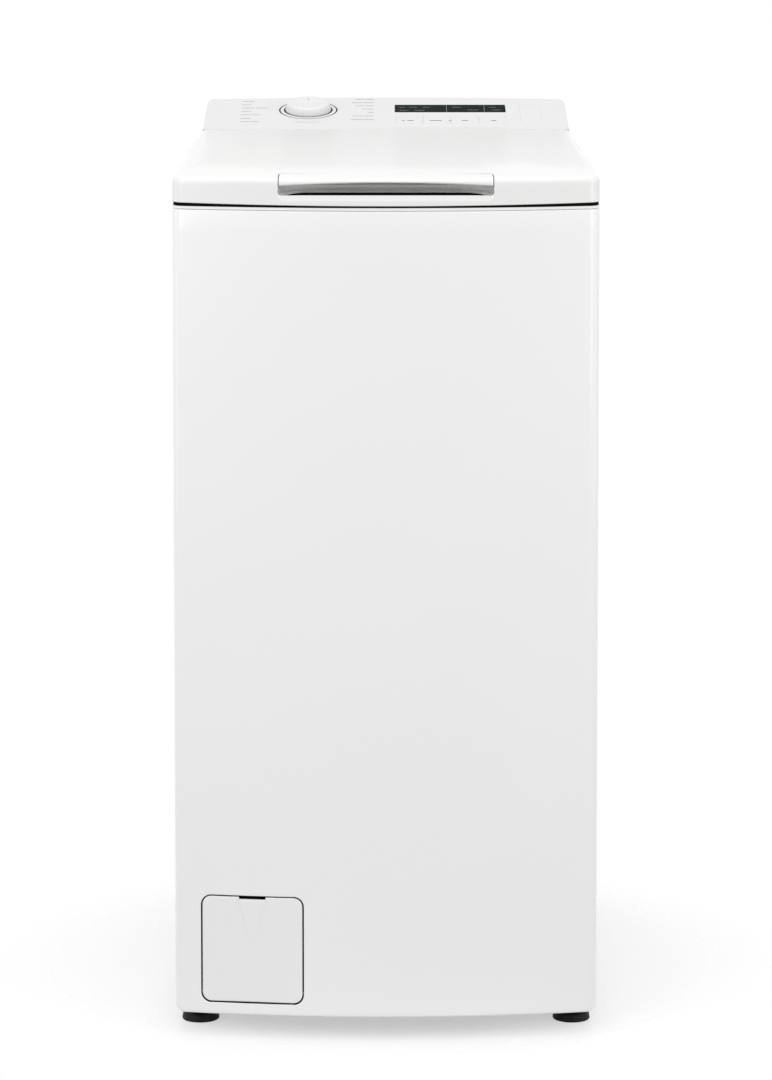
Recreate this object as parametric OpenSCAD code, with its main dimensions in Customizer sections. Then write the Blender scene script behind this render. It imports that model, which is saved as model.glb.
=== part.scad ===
// Top load washing machine: a narrow cabinet with a sloped lid, a rear console and a drum that turns
// about a level axis, reached through the lid and two flaps in the drum's wall.
// Millimetres. X runs to the right, Y to the back, Z up. The origin is on the floor, below the middle.

/* [Cabinet] */
// Overall width
width = 400; // [390:1:430]
// Overall depth, from the middle of the bowed front to the rear edge
depth = 600; // [590:1:640]
// Overall height, to the top of the console
height = 900; // [890:1:940]
// How far the middle of the front stands ahead of its two edges
front_bow = 20; // [10:1:24]
// Radius of the upright front corners
corner_r = 12; // [9:1:18]
// Thickness of the painted steel sheet
sheet = 1; // [0.8:0.1:1.4]
// Depth of the folded edges of the steel panels
fold = 14; // [10:1:18]
// Height of the cabinet's lower edge above the floor
foot_h = 21.5; // [18:0.5:26]
// Radius of the front panel's lower corners, seen from the front
skirt_r = 8; // [4:1:12]
// Height of the base pan's walls
pan_h = 26; // [20:1:32]

/* [Top] */
// Slope of the rim and the lid, degrees
deck_slope = 6.1; // [5:0.1:6.6]
// How far the front of the rim lies below the top of the console
top_drop = 116.8; // [114:0.2:120]
// Height of the rim strip between the front panel and the lid gap
rim_h = 2.4; // [1.6:0.2:4]
// Depth of the well inside the rim
well_d = 6; // [4:0.5:8]
// Wall of the white mouldings
moulding = 2.5; // [2:0.1:3.2]
// Gap between the rim and the lid
lid_gap = 2.2; // [1.6:0.2:3.4]
// Thickness of the lid
lid_t = 25.6; // [24:0.2:28]
// Radius of the lid's upper edges
lid_edge_r = 6; // [3:0.5:8]
// Distance of the lid's hinge axis ahead of the console
hinge_ahead = 15.5; // [14:0.5:16]
// Depth of the hinge axis below the lid's upper face
hinge_drop = 9; // [8:0.5:10]
// Radius of the hinge pins
hinge_pin_r = 3; // [2.5:0.25:3.5]
// Distance of the hinge ears from the side of the lid
hinge_side = 50; // [35:1:65]

/* [Handle] */
// Width of the handle
handle_w = 201; // [150:1:220]
// Depth of the handle piece, from the front of the lid
handle_d = 38; // [32:1:44]
// Height of the lower edge of the handle opening above the rim
scoop_low = 12; // [10:0.5:14]
// Height of the handle lip above the rim, at its ends
lip_low = 23.2; // [22:0.2:24]
// Rise of the lip's arch in the middle
lip_arch = 2; // [1:0.2:2.6]

/* [Console] */
// Distance from the front of the console to the rear edge of the cabinet
console_d = 116; // [112:1:122]
// Radius of the console's top rear edge
console_r = 4; // [3:0.5:8]
// Distance of the knob's axis from the middle of the console
knob_x = -86; // [-100:1:-70]
// Distance of the knob's axis up the console face
knob_u = 70; // [62:1:76]
// Radius of the ring round the knob
bezel_r = 32; // [30:0.5:34]
// Radius of the knob at its foot
knob_r = 27.5; // [24:0.5:28]
// Height of the knob above the console face
knob_h = 11; // [9:0.5:18]
// Width of the display window
display_w = 122.4; // [100:0.2:126]
// Height of the display window
display_h = 28; // [20:0.5:30]
// Width of the start and power buttons
button_w = 23; // [16:0.5:26]
// Length of the start button
start_l = 36; // [26:0.5:38]
// Length of the power button
power_l = 22; // [16:0.5:24]
// Length of the option keys
key_l = 24; // [16:0.5:30]
// Clearance round each button and key
button_gap = 0.4; // [0.3:0.05:0.6]
// Travel of the buttons and keys
press = 1.5; // [1:0.1:2]

/* [Drum and tub] */
// Least space between the tub and the front of the cabinet
tub_front = 32; // [30:1:40]
// Least space between the tub and the back of the cabinet
tub_back = 52; // [50:1:62]
// Height of the tub's lowest point above the floor
tub_up = 182; // [180:1:190]
// Least space between the tub and the front of the rim
tub_down = 85.2; // [85:0.2:95]
// Space between the side of the cabinet and the drum's end
drum_side = 70; // [68:1:76]
// Thickness of the drum's steel
drum_t = 1; // [0.8:0.1:1.4]
// Radial space between the drum and the tub
tub_gap = 19; // [18:0.5:20]
// Wall of the tub
tub_wall = 4; // [3:0.5:5]
// Distance from the drum's end to its opening
mouth_side = 30; // [26:1:50]
// Distance from the middle of the drum's opening to the hinges of its flaps
mouth_y = 115; // [100:1:118]
// Clearance round the drum's flaps
flap_gap = 1; // [0.6:0.1:1.5]
// Radius of the holes in the drum's wall
hole_r = 2.5; // [1.5:0.1:3]
// Depth of the lifting paddles inside the drum
paddle_h = 46; // [30:1:60]
// Travel of the tub on its springs, up and down
float_travel = 8; // [4:1:9]
// Height of the bellows between the tub and the top frame
bellows_h = 30; // [26:1:36]

/* [Drive] */
// Radius of the drum's shafts
shaft_r = 12.5; // [10:0.5:14]
// Outer radius of the bearings
bearing_r = 26; // [24:0.5:28]
// Width of the bearings
bearing_w = 15; // [12:1:16]
// Radius of the drum's pulley, inside the belt
pulley_r = 132; // [110:1:140]
// Radius of the motor's pulley, inside the belt
motor_pulley_r = 10; // [8:0.5:14]
// Width of the belt
belt_w = 14; // [10:1:16]
// Thickness of the belt
belt_t = 4; // [3:0.5:5]
// Radius of the motor
motor_r = 56; // [48:1:58]
// Length of the motor
motor_l = 104; // [90:1:108]

/* [Feet and pump] */
// Radius of the feet
foot_r = 18; // [15:0.5:20]
// Radius of the feet's threaded studs
stud_r = 5; // [4:0.5:6]
// Distance of the front feet from the front of the cabinet
foot_back = 75; // [70:1:90]
// Distance of the feet from the sides of the cabinet
foot_side = 21; // [20:0.5:26]
// Width of the filter door
door_w = 94.8; // [88:0.2:98]
// Height of the filter door
door_h = 100.5; // [90:0.5:104]
// Corner radius of the filter door
door_r = 8.5; // [5:0.5:14]
// Gap round the filter door
door_gap = 1; // [0.6:0.1:1.5]
// Distance from the left side of the cabinet to the filter door
door_from_side = 26.5; // [24:0.5:32]
// Height of the filter door's lower edge above the cabinet's lower edge
door_up = 12.5; // [11:0.5:16]
// Radius of the pump's filter cap
filter_r = 30; // [26:1:33]

/* [Hidden] */

white = [0.93, 0.94, 0.94];
grey = [0.60, 0.61, 0.62];
steel = [0.72, 0.73, 0.74];
dark = [0.12, 0.12, 0.13];
rubber = [0.25, 0.25, 0.27];
cream = [0.80, 0.80, 0.78];

// ---- the cabinet's outline -------------------------------------------------------------------------------
half = width / 2;
front = -depth / 2;
rear = depth / 2;
bow_r = (half * half + front_bow * front_bow) / (2 * front_bow);
bow_y = front + bow_r;
edge_y = front + front_bow;
fit = 0.4; // space between a moulding and the steel round it
run_fit = 0.05; // radial space of a pin or shaft that turns in its bore

// Where the outer face of the front lies at x.
function front_at(x) = bow_y - sqrt(bow_r * bow_r - x * x);

// The outline seen from above, moved inwards by inset and ending at back: anticlockwise, bowed at the front.
function outline(inset = 0, back = rear) =
    let (
        r = max(corner_r - inset, 0.5),
        x = half - inset - r,
        y = bow_y - sqrt(pow(bow_r - inset - r, 2) - x * x),
        lean = asin(x / (bow_r - inset - r))
    )
    concat(
        [[half - inset, back], [-half + inset, back]],
        [for (i = [0 : 6]) let (a = 180 + (90 - lean) * i / 6) [-x + r * cos(a), y + r * sin(a)]],
        [for (i = [1 : 31]) let (a = lean * (i / 16 - 1))
            [(bow_r - inset) * sin(a), bow_y - (bow_r - inset) * cos(a)]],
        [for (i = [0 : 6]) let (a = -90 + lean + (90 - lean) * i / 6) [x + r * cos(a), y + r * sin(a)]]
    );

// A rectangle w by h with round corners, as points anticlockwise about its middle.
function soft_rect(w, h, r, n = 5) = [
    for (q = [0 : 3]) let (sx = [1, -1, -1, 1][q], sy = [1, 1, -1, -1][q])
        for (i = [0 : n]) let (a = 90 * q + 90 * i / n)
            [sx * (w / 2 - r) + r * cos(a), sy * (h / 2 - r) + r * sin(a)]
];

// Points of an arc about c from angle a to angle b.
function arc(c, r, a, b, n = 8) = [for (i = [0 : n]) let (t = a + (b - a) * i / n) c + r * [cos(t), sin(t)]];

module plan(inset = 0, back_inset = -1) polygon(outline(inset, rear - (back_inset < 0 ? inset : back_inset)));
module across(x0, x1) translate([x0, 0, 0]) rotate([90, 0, 90]) linear_extrude(x1 - x0) children();
module along(y0, y1) translate([0, y1, 0]) rotate([90, 0, 0]) linear_extrude(y1 - y0) children();
module block(low, high) translate(low) cube(high - low);
module x_rod(r, x0, x1, y, z) translate([x0, y, z]) rotate([0, 90, 0]) cylinder(r = r, h = x1 - x0, $fn = 48);
module y_rod(r, y0, y1, x, z) translate([x, y0, z]) rotate([-90, 0, 0])
    cylinder(r = r, h = y1 - y0, $fn = 48);
module z_rod(r, z0, z1, x, y) translate([x, y, z0]) cylinder(r = r, h = z1 - z0, $fn = 48);
module mirrored() for (side = [0, 1]) mirror([side, 0, 0]) children();

// A closed skin over rings of equal count, bottom ring first, each ring anticlockwise seen from above.
module skin(rings) {
    n = len(rings[0]);
    last = len(rings) - 1;
    polyhedron(
        points = [for (ring = rings, p = ring) p],
        faces = concat(
            [[for (j = [0 : n - 1]) j], [for (j = [n - 1 : -1 : 0]) last * n + j]],
            [for (i = [0 : last - 1], j = [0 : n - 1], side = [0, 1]) let (k = (j + 1) % n)
                side == 0 ? [i * n + j, (i + 1) * n + j, (i + 1) * n + k]
                    : [i * n + j, (i + 1) * n + k, i * n + k]]
        ),
        convexity = 6
    );
}

// ---- heights of the sloped top ---------------------------------------------------------------------------
rim_z0 = height - top_drop;
function rim_z(y) = rim_z0 + (y - front) * tan(deck_slope);
console_y = rear - console_d;
hinge_y = console_y - hinge_ahead;
hinge_z = rim_z(hinge_y) + (lid_gap + lid_t - hinge_drop) / cos(deck_slope);
hinge_x = half - hinge_side;
console_z = rim_z(console_y) + (lid_gap + lid_t) / cos(deck_slope);
rim_q = lid_t + lid_gap - hinge_drop; // the rim lies this far below the hinge axis, square to the slope

// The hinge frame: its origin is on the hinge axis and its XY plane follows the slope of the lid.
module on_hinge() translate([0, hinge_y, hinge_z]) rotate([deck_slope, 0, 0]) children();

// Everything below the rim plane by drop, and above it up to rise.
module under_rim(drop = 0, bottom = -10)
    across(-half - 5, half + 5)
        polygon([[front - 9, bottom], [rear + 9, bottom], [rear + 9, rim_z(rear + 9) - drop],
                 [front - 9, rim_z(front - 9) - drop]]);
module rim_slab(low, high)
    across(-half - 5, half + 5)
        polygon([for (p = [[front - 9, low], [rear + 9, low], [rear + 9, high], [front - 9, high]])
            [p[0], rim_z(p[0]) + p[1]]]);

// ---- places of the machinery -----------------------------------------------------------------------------
tub_out = min((depth - tub_front - tub_back) / 2, (rim_z0 - tub_up - tub_down) / 2); // the tub is round
tub_r = tub_out - tub_wall;
drum_r = tub_r - tub_gap;
drum_y = front + tub_front + tub_out;
drum_z = tub_up + tub_out;
drum_half = half - drum_side;
mouth_x = drum_half - mouth_side;
tub_half = drum_half + 7;
tub_end = tub_half + tub_wall;
neck_x = mouth_x + 10;
neck_y = mouth_y + 14;
neck_r = 20;
neck_z = drum_z + tub_out + 30;
collar_z = neck_z + bellows_h;
bearing_x = tub_end + 4;
belt_x = bearing_x + bearing_w + 11;
pulley_x0 = belt_x - belt_w / 2;
spring_dy = tub_out - 68; // the springs hang this far ahead of and behind the drum's axis
spring_z0 = drum_z + 140;
spring_z1 = rim_z0 - 53.2;
spring_x = tub_end + 12;
motor_y = drum_y + 150;
motor_z = drum_z - sqrt(pow(tub_out + motor_r + 10, 2) - 150 * 150);
floor_t = 3;
rear_panel_in = 3 * sheet + 0.4; // the rear panel's inner face lies this far ahead of the cabinet's back
pan_z = foot_h + 3;

// ---- base ------------------------------------------------------------------------------------------------
door_x0 = -half + door_from_side;
door_x1 = door_x0 + door_w;
door_x = (door_x0 + door_x1) / 2;
door_z0 = foot_h + door_up;
door_z = door_z0 + door_h / 2;
door_turn = atan((front_at(door_x1) - front_at(door_x0)) / door_w); // the door's chord against the X axis
door_mid_y = (front_at(door_x0) + front_at(door_x1)) / 2;
door_pin_in = 4; // depth of the door's hinge axis behind its chord
door_pin_up = 8.8; // height of the axis above the door's lower edge
door_pin_r = 1.5;
damper_r = 14;
damper_places = [[60, drum_y - 160], [-60, drum_y + 160]];
damper_top = drum_z - sqrt(pow(tub_out, 2) - 160 * 160) - 12;
filter_y0 = front + 36;
pump_r = filter_r + 6;
foot_places_front = [[-half + foot_side, front + foot_back], [half - foot_side, front + foot_back]];
foot_places_rear = [[-half + foot_side, rear - 55], [half - foot_side, rear - 55]];

// The frame of the filter door: X along its chord, origin on its hinge axis.
module on_door() translate([door_x, door_mid_y, door_z0 + door_pin_up]) rotate([0, 0, door_turn])
    translate([0, door_pin_in, 0]) children();

module base_pan() color(grey) {
    wall = sheet + fit;
    difference() {
        union() {
            difference() {
                translate([0, 0, pan_z]) linear_extrude(pan_h) plan(wall, rear_panel_in + fit);
                translate([0, 0, pan_z + floor_t]) linear_extrude(pan_h)
                    plan(wall + floor_t, rear_panel_in + fit + floor_t);
            }
            for (p = concat(foot_places_front, foot_places_rear))
                z_rod(stud_r + 8, pan_z, pan_z + 20, p[0], p[1]);
            for (x = [-120, -20, 20, 120])
                block([x - 1.5, front + 190, pan_z], [x + 1.5, rear - 8, pan_z + 14]);
            for (y = [-90, 60, 210]) block([-half + 6, y - 1.5, pan_z], [half - 6, y + 1.5, pan_z + 14]);
            for (p = damper_places) z_rod(damper_r + 5, pan_z, pan_z + 16, p[0], p[1]);
            for (y = [filter_y0 + 22, filter_y0 + 96])
                block([door_x - 26, y - 3, pan_z], [door_x + 26, y + 3, door_z - pump_r + 6]);
        }
        for (p = concat(foot_places_front, foot_places_rear))
            z_rod(stud_r + run_fit, pan_z - 1, pan_z + 21, p[0], p[1]);
        for (p = damper_places) z_rod(damper_r, pan_z + 6, pan_z + 17, p[0], p[1]);
        y_rod(pump_r, filter_y0 + 10, filter_y0 + 120, door_x, door_z);
        block([door_x0 - 12, front - 1, pan_z + floor_t], [door_x1 + 12, filter_y0, pan_z + pan_h + 1]);
        for (x = [-70, 70], y = [-30, 30, 90, 150]) z_rod(9, pan_z - 1, pan_z + 5, x, y);
    }
    on_door() for (side = [-1, 1]) difference() { // ears that hold the filter door's pins
        block([side * (door_w / 2 + 4) - 2.6, -door_pin_in + sheet + 0.6, pan_z + 1 - door_z0 - door_pin_up],
              [side * (door_w / 2 + 4) + 2.6, 8, 4]);
        x_rod(door_pin_r + run_fit, side * (door_w / 2 + 4) - 4, side * (door_w / 2 + 4) + 4, 0, 0);
    }
}

module foot_pad(place) {
    x = place[0];
    y = place[1];
    translate([x, y, 0]) rotate_extrude($fn = 64)
        polygon(concat([[0, 0]], arc([foot_r - 1.5, 1.5], 1.5, -90, 0, 3),
            [[foot_r - 1, 7], [foot_r - 4, 9.5], [stud_r + 4, 10], [0, 10]]));
    z_rod(stud_r, 9, pan_z + 26, x, y);
    translate([x, y, 9.5]) cylinder(r = stud_r + 4.2, h = 5, $fn = 6);
}
module left_front_foot() color(dark) foot_pad(foot_places_front[0]);
module right_front_foot() color(dark) foot_pad(foot_places_front[1]);
module rear_feet() color(dark) for (p = foot_places_rear) {
    translate([p[0], p[1], 0]) rotate_extrude($fn = 64)
        polygon(concat([[0, 0]], arc([foot_r - 1.5, 1.5], 1.5, -90, 0, 3),
            [[foot_r - 2, pan_z], [0, pan_z]]));
    z_rod(stud_r, pan_z - 1, pan_z + 12, p[0], p[1]);
}

// ---- steel panels ----------------------------------------------------------------------------------------
seam_y = edge_y + 16; // the side panels begin here
pan_top = pan_z + pan_h;
low_fold = foot_side - foot_r - 0.5; // the side panels' lower fold ends beside the feet

module front_opening(grow) // the filter door's outline
    translate([door_x, door_z]) polygon(soft_rect(door_w + 2 * grow, door_h + 2 * grow, door_r + grow));

module front_face() // the front panel seen from the front, round at its lower corners
    polygon(concat(
        arc([-half + skirt_r, foot_h + skirt_r], skirt_r, 180, 270, 6),
        arc([half - skirt_r, foot_h + skirt_r], skirt_r, 270, 360, 6),
        [[half, height], [-half, height]]));

module front_panel() color(white) intersection() {
    under_rim(rim_h);
    along(front - 1, seam_y) front_face();
    difference() {
        union() {
            difference() {
                linear_extrude(height) plan();
                linear_extrude(height) plan(sheet);
            }
            intersection() { // folded lower and upper edges
                difference() {
                    linear_extrude(height) plan();
                    linear_extrude(height) plan(fold);
                }
                union() {
                    block([-half, front, foot_h], [half, edge_y + 10, foot_h + sheet]);
                    rim_slab(-rim_h - sheet, -rim_h);
                }
            }
            for (side = [-1, 1]) // inward flanges that meet the side panels
                block([side * (half - fold / 2) - fold / 2, seam_y - sheet, pan_top + fit],
                      [side * (half - fold / 2) + fold / 2, seam_y, height]);
        }
        along(front - 1, edge_y + 10) front_opening(door_gap);
        block([-half - 1, seam_y, 0], [half + 1, rear + 1, height]);
    }
}

// One side panel, as the right one; its middle is pressed inwards to stiffen it.
module side_panel() {
    bead = 3;
    spring_y = [drum_y - spring_dy, drum_y + spring_dy];
    intersection() {
        under_rim(rim_h);
        difference() {
            union() {
                block([half - sheet, seam_y, foot_h], [half, rear, height]);
                block([half - fold, seam_y, pan_top + fit], [half, seam_y + sheet, height]);
                block([half - fold, rear - sheet, foot_h], [half, rear, height]);
                block([half - low_fold, seam_y, foot_h], [half, rear, foot_h + sheet]);
                intersection() {
                    block([half - fold, seam_y, foot_h], [half, rear, height]);
                    rim_slab(-rim_h - sheet, -rim_h);
                }
                across(half - sheet - bead, half - sheet) translate([drum_y + 20, 390])
                    polygon(soft_rect(440, 560, 30));
                for (y = spring_y) { // shelves that carry the tub's springs
                    block([half - 62, y - 14, spring_z1 + 1], [half - sheet / 2, y + 14, spring_z1 + 4]);
                    block([half - 46, y - 1.5, spring_z1 + 2], [half - sheet / 2, y + 1.5, spring_z1 + 34]);
                }
            }
            across(half - bead, half + 1) translate([drum_y + 20, 390])
                polygon(soft_rect(440 - 2 * sheet, 560 - 2 * sheet, 30 - sheet));
        }
    }
}
module right_side_panel() color(white) side_panel();
module left_side_panel() color(white) mirror([1, 0, 0]) side_panel();

valve_x = neck_x - 20;
valve_z = rim_z(rear) - 64;
spigot_x = -half + 35;
spigot_z = rim_z(rear) - 64;
cord_x = -half + 60;
cord_z = rim_z(rear) - 150;
drain_r = 9.5; // outer radius of the drain pipe
cap_places = [for (x = [-120, 120], z = [drum_z - 150, drum_z + 150]) [x, z]];
screw_places = [for (x = [-half + 22, half - 22], i = [0 : 4]) [x, 60 + i * (rim_z(rear) - 167) / 4]];
hose_nozzle_r = 13.2; // a G3/4 hose thread

module rear_panel() color(steel) {
    y0 = rear - rear_panel_in + sheet; // lies inside the folds of the side panels
    difference() {
        union() {
            intersection() {
                under_rim(rim_h + sheet + 0.4);
                union() {
                    block([-half + sheet + fit, y0 - sheet, pan_z + 4], [half - sheet - fit, y0, height]);
                    block([-half + fold + 4, y0 - fold, rim_z(y0) - 5], [half - fold - 4, y0, height]);
                }
            }
            // service cover pressed outwards, and the wells of the valve and the drain spigot
            along(y0 - sheet, y0 + sheet) translate([0, 330]) polygon(soft_rect(190, 420, 18));
            for (p = [[valve_x, valve_z], [spigot_x, spigot_z]])
                y_rod(26, y0 - 26, y0, p[0], p[1]);
        }
        along(y0 - 2 * sheet, y0) translate([0, 330])
            polygon(soft_rect(190 - 2 * sheet, 420 - 2 * sheet, 18 - sheet));
        for (p = [[valve_x, valve_z], [spigot_x, spigot_z]]) {
            y_rod(25, y0 - 25, y0 + 1, p[0], p[1]);
        }
        y_rod(hose_nozzle_r + fit, y0 - 30, y0 + 1, valve_x, valve_z);
        y_rod(drain_r + fit, y0 - 30, y0 + 1, spigot_x, spigot_z);
        y_rod(9 + run_fit, y0 - 5, y0 + 5, cord_x, cord_z);
        for (p = cap_places) y_rod(11 + run_fit, y0 - 5, y0 + 5, p[0], p[1]);
        for (p = screw_places) y_rod(2.1, y0 - 5, y0 + 5, p[0], p[1]);
        for (i = [0 : 6]) // vent slots
            block([-40 + 12 * i, y0 - 5, rim_z(rear) - 120], [-34 + 12 * i, y0 + 5, rim_z(rear) - 60]);
    }
}

module transport_caps() color(white) for (p = cap_places) {
    y_rod(15, rear - 2 * sheet - 0.4, rear - sheet, p[0], p[1]);
    y_rod(11, rear - 2 * sheet - 9, rear - 2 * sheet - 0.3, p[0], p[1]);
}
module panel_screws() color(steel) for (p = screw_places) {
    y_rod(2, rear - 16, rear - sheet - 0.8, p[0], p[1]);
    y_rod(4.5, rear - 2 * sheet - 0.4, rear - 0.2, p[0], p[1]);
}

// ---- top frame: the rim under the lid, the well and the loading throat ------------------------------------
hook_x = 130;
hook_y = front + 44;
ear_w = 8;
ear_r = 5.8;
well_back = rear - console_y + 4; // the well ends this far from the rear edge, ahead of the console
tail_in = hinge_ahead / cos(deck_slope) + hinge_drop * tan(deck_slope) - 0.8;
tail_r = sqrt(tail_in * tail_in + hinge_drop * hinge_drop); // the lid's tail turns inside this radius

module throat(grow, z0, z1) // a rounded square prism over the drum's opening
    translate([0, drum_y, z0]) linear_extrude(z1 - z0)
        polygon(soft_rect(2 * (neck_x + grow), 2 * (neck_y + grow), neck_r + grow));

module hinge_ear() // one upright eye that holds a hinge pin
    across(-ear_w / 2, ear_w / 2) union() {
        circle(r = ear_r, $fn = 48);
        polygon([[-7, -rim_q - well_d], [0.6, -rim_q - well_d], [5, -2], [0, 0], [-5.4, -1.5]]);
    }

module top_frame() color(white) {
    body_in = fold + 1;
    difference() {
        union() {
            difference() {
                union() {
                    intersection() {
                        linear_extrude(height) plan();
                        rim_slab(-rim_h, 0);
                    }
                    intersection() {
                        linear_extrude(height) plan(body_in, fold + 7);
                        rim_slab(-18, -rim_h / 2);
                    }
                }
                intersection() {
                    linear_extrude(height) plan(body_in + moulding, well_back);
                    rim_slab(-well_d, 1);
                }
                intersection() {
                    linear_extrude(height) plan(body_in + moulding, fold + 7 + moulding);
                    rim_slab(-19, -well_d - moulding);
                }
                intersection() {
                    linear_extrude(height) plan(body_in + moulding, fold + 7 + moulding);
                    rim_slab(-19, -moulding);
                    block([-half, console_y + moulding - 4, 0], [half, rear, height]);
                }
            }
            intersection() {
                throat(moulding, collar_z, height);
                under_rim(well_d + 0.1);
            }
            on_hinge() for (side = [-1, 1]) translate([side * hinge_x, 0, 0]) hinge_ear();
        }
        throat(0, collar_z - 1, height);
        on_hinge() for (side = [-1, 1])
            x_rod(hinge_pin_r + run_fit, side * hinge_x - ear_w, side * hinge_x + ear_w, 0, 0);
        y_rod(7, drum_y + neck_y - 4, drum_y + neck_y + 4, valve_x, valve_z);
        block([hook_x - 7, hook_y - 9, rim_z0 - 83], [hook_x + 7, hook_y + 5, height]);
    }
}

// The lock's case hangs below the deck; the lid's hook drops into it.
module door_lock() color(dark) {
    top = rim_z(hook_y - 13) - well_d - moulding - 0.4;
    difference() {
        block([hook_x - 18, hook_y - 13, top - 30], [hook_x + 18, hook_y + 14, top]);
        block([hook_x - 6.5, hook_y - 8.5, top - 24], [hook_x + 6.5, hook_y + 4.5, top + 1]);
    }
    block([hook_x - 18, hook_y - 13, top - 0.1], [hook_x - 14, hook_y + 14, top + 0.1]);
}

// ---- lid -------------------------------------------------------------------------------------------------
lid_low = lid_gap / cos(deck_slope); // heights above the rim, measured straight up
lid_high = (lid_gap + lid_t) / cos(deck_slope);

// The lid's skin moved inwards by t: upright walls, then a round edge, then the sloped upper face.
module lid_form(t = 0, low = lid_low) {
    r = lid_edge_r - t;
    function ring(inset, up) = [for (p = outline(inset, console_y + 4)) [p[0], p[1], rim_z(p[1]) + up]];
    skin(concat(
        [ring(t, low)],
        [for (i = [0 : 5]) let (a = 90 * i / 5) ring(t + r * (1 - cos(a)), lid_high - t - r + r * sin(a))]
    ));
}

// Everything ahead of the hinge axis, and behind it only what turns inside the tail's radius.
module lid_reach(r) on_hinge() {
    across(-half - 1, half + 1) polygon([[-depth, -60], [0, -60], [0, 60], [-depth, 60]]);
    x_rod(r, -half - 1, half + 1, 0, 0);
}

module handle_zone(gap) // where the handle piece sits, seen from above, and above its lower edge
    block([-handle_w / 2 + gap, front - 1, rim_z0 + scoop_low],
          [handle_w / 2 - gap, front + handle_d - gap, height]);

module lid_shell() color(white) {
    difference() {
        intersection() {
            lid_form();
            lid_reach(tail_r);
        }
        intersection() {
            lid_form(moulding, lid_low - 1);
            lid_reach(tail_r - moulding);
        }
        handle_zone(0);
        on_hinge() for (side = [-1, 1]) // slots that let the tail turn round the ears
            block([side * hinge_x - ear_w / 2 - 1, -12, -40],
                  [side * hinge_x + ear_w / 2 + 1, 30, hinge_drop - moulding]);
    }
    on_hinge() for (side = [-1, 1], k = [-1, 1]) translate([side * hinge_x + k * (ear_w / 2 + 5.5), 0, 0])
        difference() { // bosses that grip the pins
            across(-4, 4) polygon([[-6, -6], [6, -6], [6, hinge_drop - 1], [-6, hinge_drop - 1]]);
            x_rod(hinge_pin_r, -5, 5, 0, 0);
        }
}

module lid_hinge_pins() color(steel) on_hinge() for (side = [-1, 1])
    x_rod(hinge_pin_r, side * hinge_x - ear_w / 2 - 9.5, side * hinge_x + ear_w / 2 + 9.5, 0, 0);

// The inner panel closes the lid from below and carries the detergent tray.
module lid_liner() color(white) {
    in = moulding + 0.3;
    difference() {
        union() {
            intersection() {
                linear_extrude(height) plan(in);
                rim_slab(lid_low, lid_low + moulding);
            }
            for (x = [-120, -40, 40, 120]) intersection() {
                block([x - 1, front + 60, 0], [x + 1, hinge_y - 30, height]);
                rim_slab(lid_low, lid_high - moulding - 0.3);
            }
        }
        on_hinge() block([-half, -14, -60], [half, 300, 60]);
        block([-handle_w / 2 - 3, front - 1, 0], [handle_w / 2 + 3, front + 5.5, height]);
    }
}

// The white bridge that the fingers pull: it continues the lid and its lower edge is arched.
module lid_handle() color(white) {
    lip_t = 5;
    difference() {
        intersection() {
            lid_form();
            handle_zone(0.5);
        }
        along(front - 2, front + handle_d) polygon(concat(
            [[-half, 0], [half, 0]],
            [for (i = [8 : -1 : -8]) let (x = handle_w / 16 * i)
                [x, rim_z0 + lip_low + lip_arch * (1 - pow(i / 8, 2))]]));
        across(-handle_w / 2 + 2.5, handle_w / 2 - 2.5)
            polygon([[front + lip_t + 3, 0], [front + handle_d - 3, 0],
                     [front + handle_d - 3, rim_z0 + lid_high], [front + lip_t + 5, rim_z0 + lid_high - 2.6]]);
    }
}

// A scoop of satin grey behind the opening: its section is a quarter of an ellipse that rises to the back.
module handle_trough() color(grey) {
    y0 = front + 6.4;
    z0 = rim_z0 + scoop_low + 0.3;
    run = handle_d - 12;
    rise = lid_high - scoop_low - 6.3;
    t = 1.6;
    curve = function(k) [for (i = [0 : 10]) let (a = 90 * i / 10)
        [y0 + (run - k) * sin(a), z0 + k + (rise - k) * (1 - cos(a))]];
    end = handle_w / 2 - 3.2;
    across(-end, end) polygon(concat(curve(0), [for (i = [10 : -1 : 0]) curve(t)[i]]));
    for (side = [-1, 1]) across(side * end - (side + 1) / 2 * t, side * end - (side - 1) / 2 * t)
        polygon(concat(curve(0), [[y0, z0 + rise]]));
}

module lid_hook() color(steel) {
    z1 = rim_z(hook_y) + lid_low;
    across(hook_x - 4.5, hook_x + 4.5)
        polygon([[hook_y - 1, z1 - 0.2], [hook_y - 1, z1 - 28], [hook_y + 4, z1 - 28], [hook_y + 4, z1 - 24],
                 [hook_y + 2, z1 - 21], [hook_y + 2, z1 + 0.1]]);
}

// Three pockets whose mouths look up when the lid stands open.
module detergent_tray() color(white) on_hinge() {
    top = hinge_drop - lid_t;
    y0 = -hinge_y + drum_y - 66;
    y1 = y0 + 130;
    deep = 30;
    w = 1.8;
    walls = [18 - neck_x, -32, 30, neck_x - 18];
    difference() {
        block([walls[0], y0, top - deep], [walls[3], y1, top]);
        for (i = [0 : 2])
            block([walls[i] + w, y0 - 1, top - deep + w], [walls[i + 1] - w, y1 - w - 18 * i, top - w]);
        for (i = [0 : 2], k = [-1, 0, 1]) // outlets at the inner end of each pocket
            translate([(walls[i] + walls[i + 1]) / 2 + 12 * k, y1 - w - 18 * i - 8, top - deep - 1])
                cylinder(r = 2.5, h = w + 2, $fn = 24);
    }
}

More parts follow.
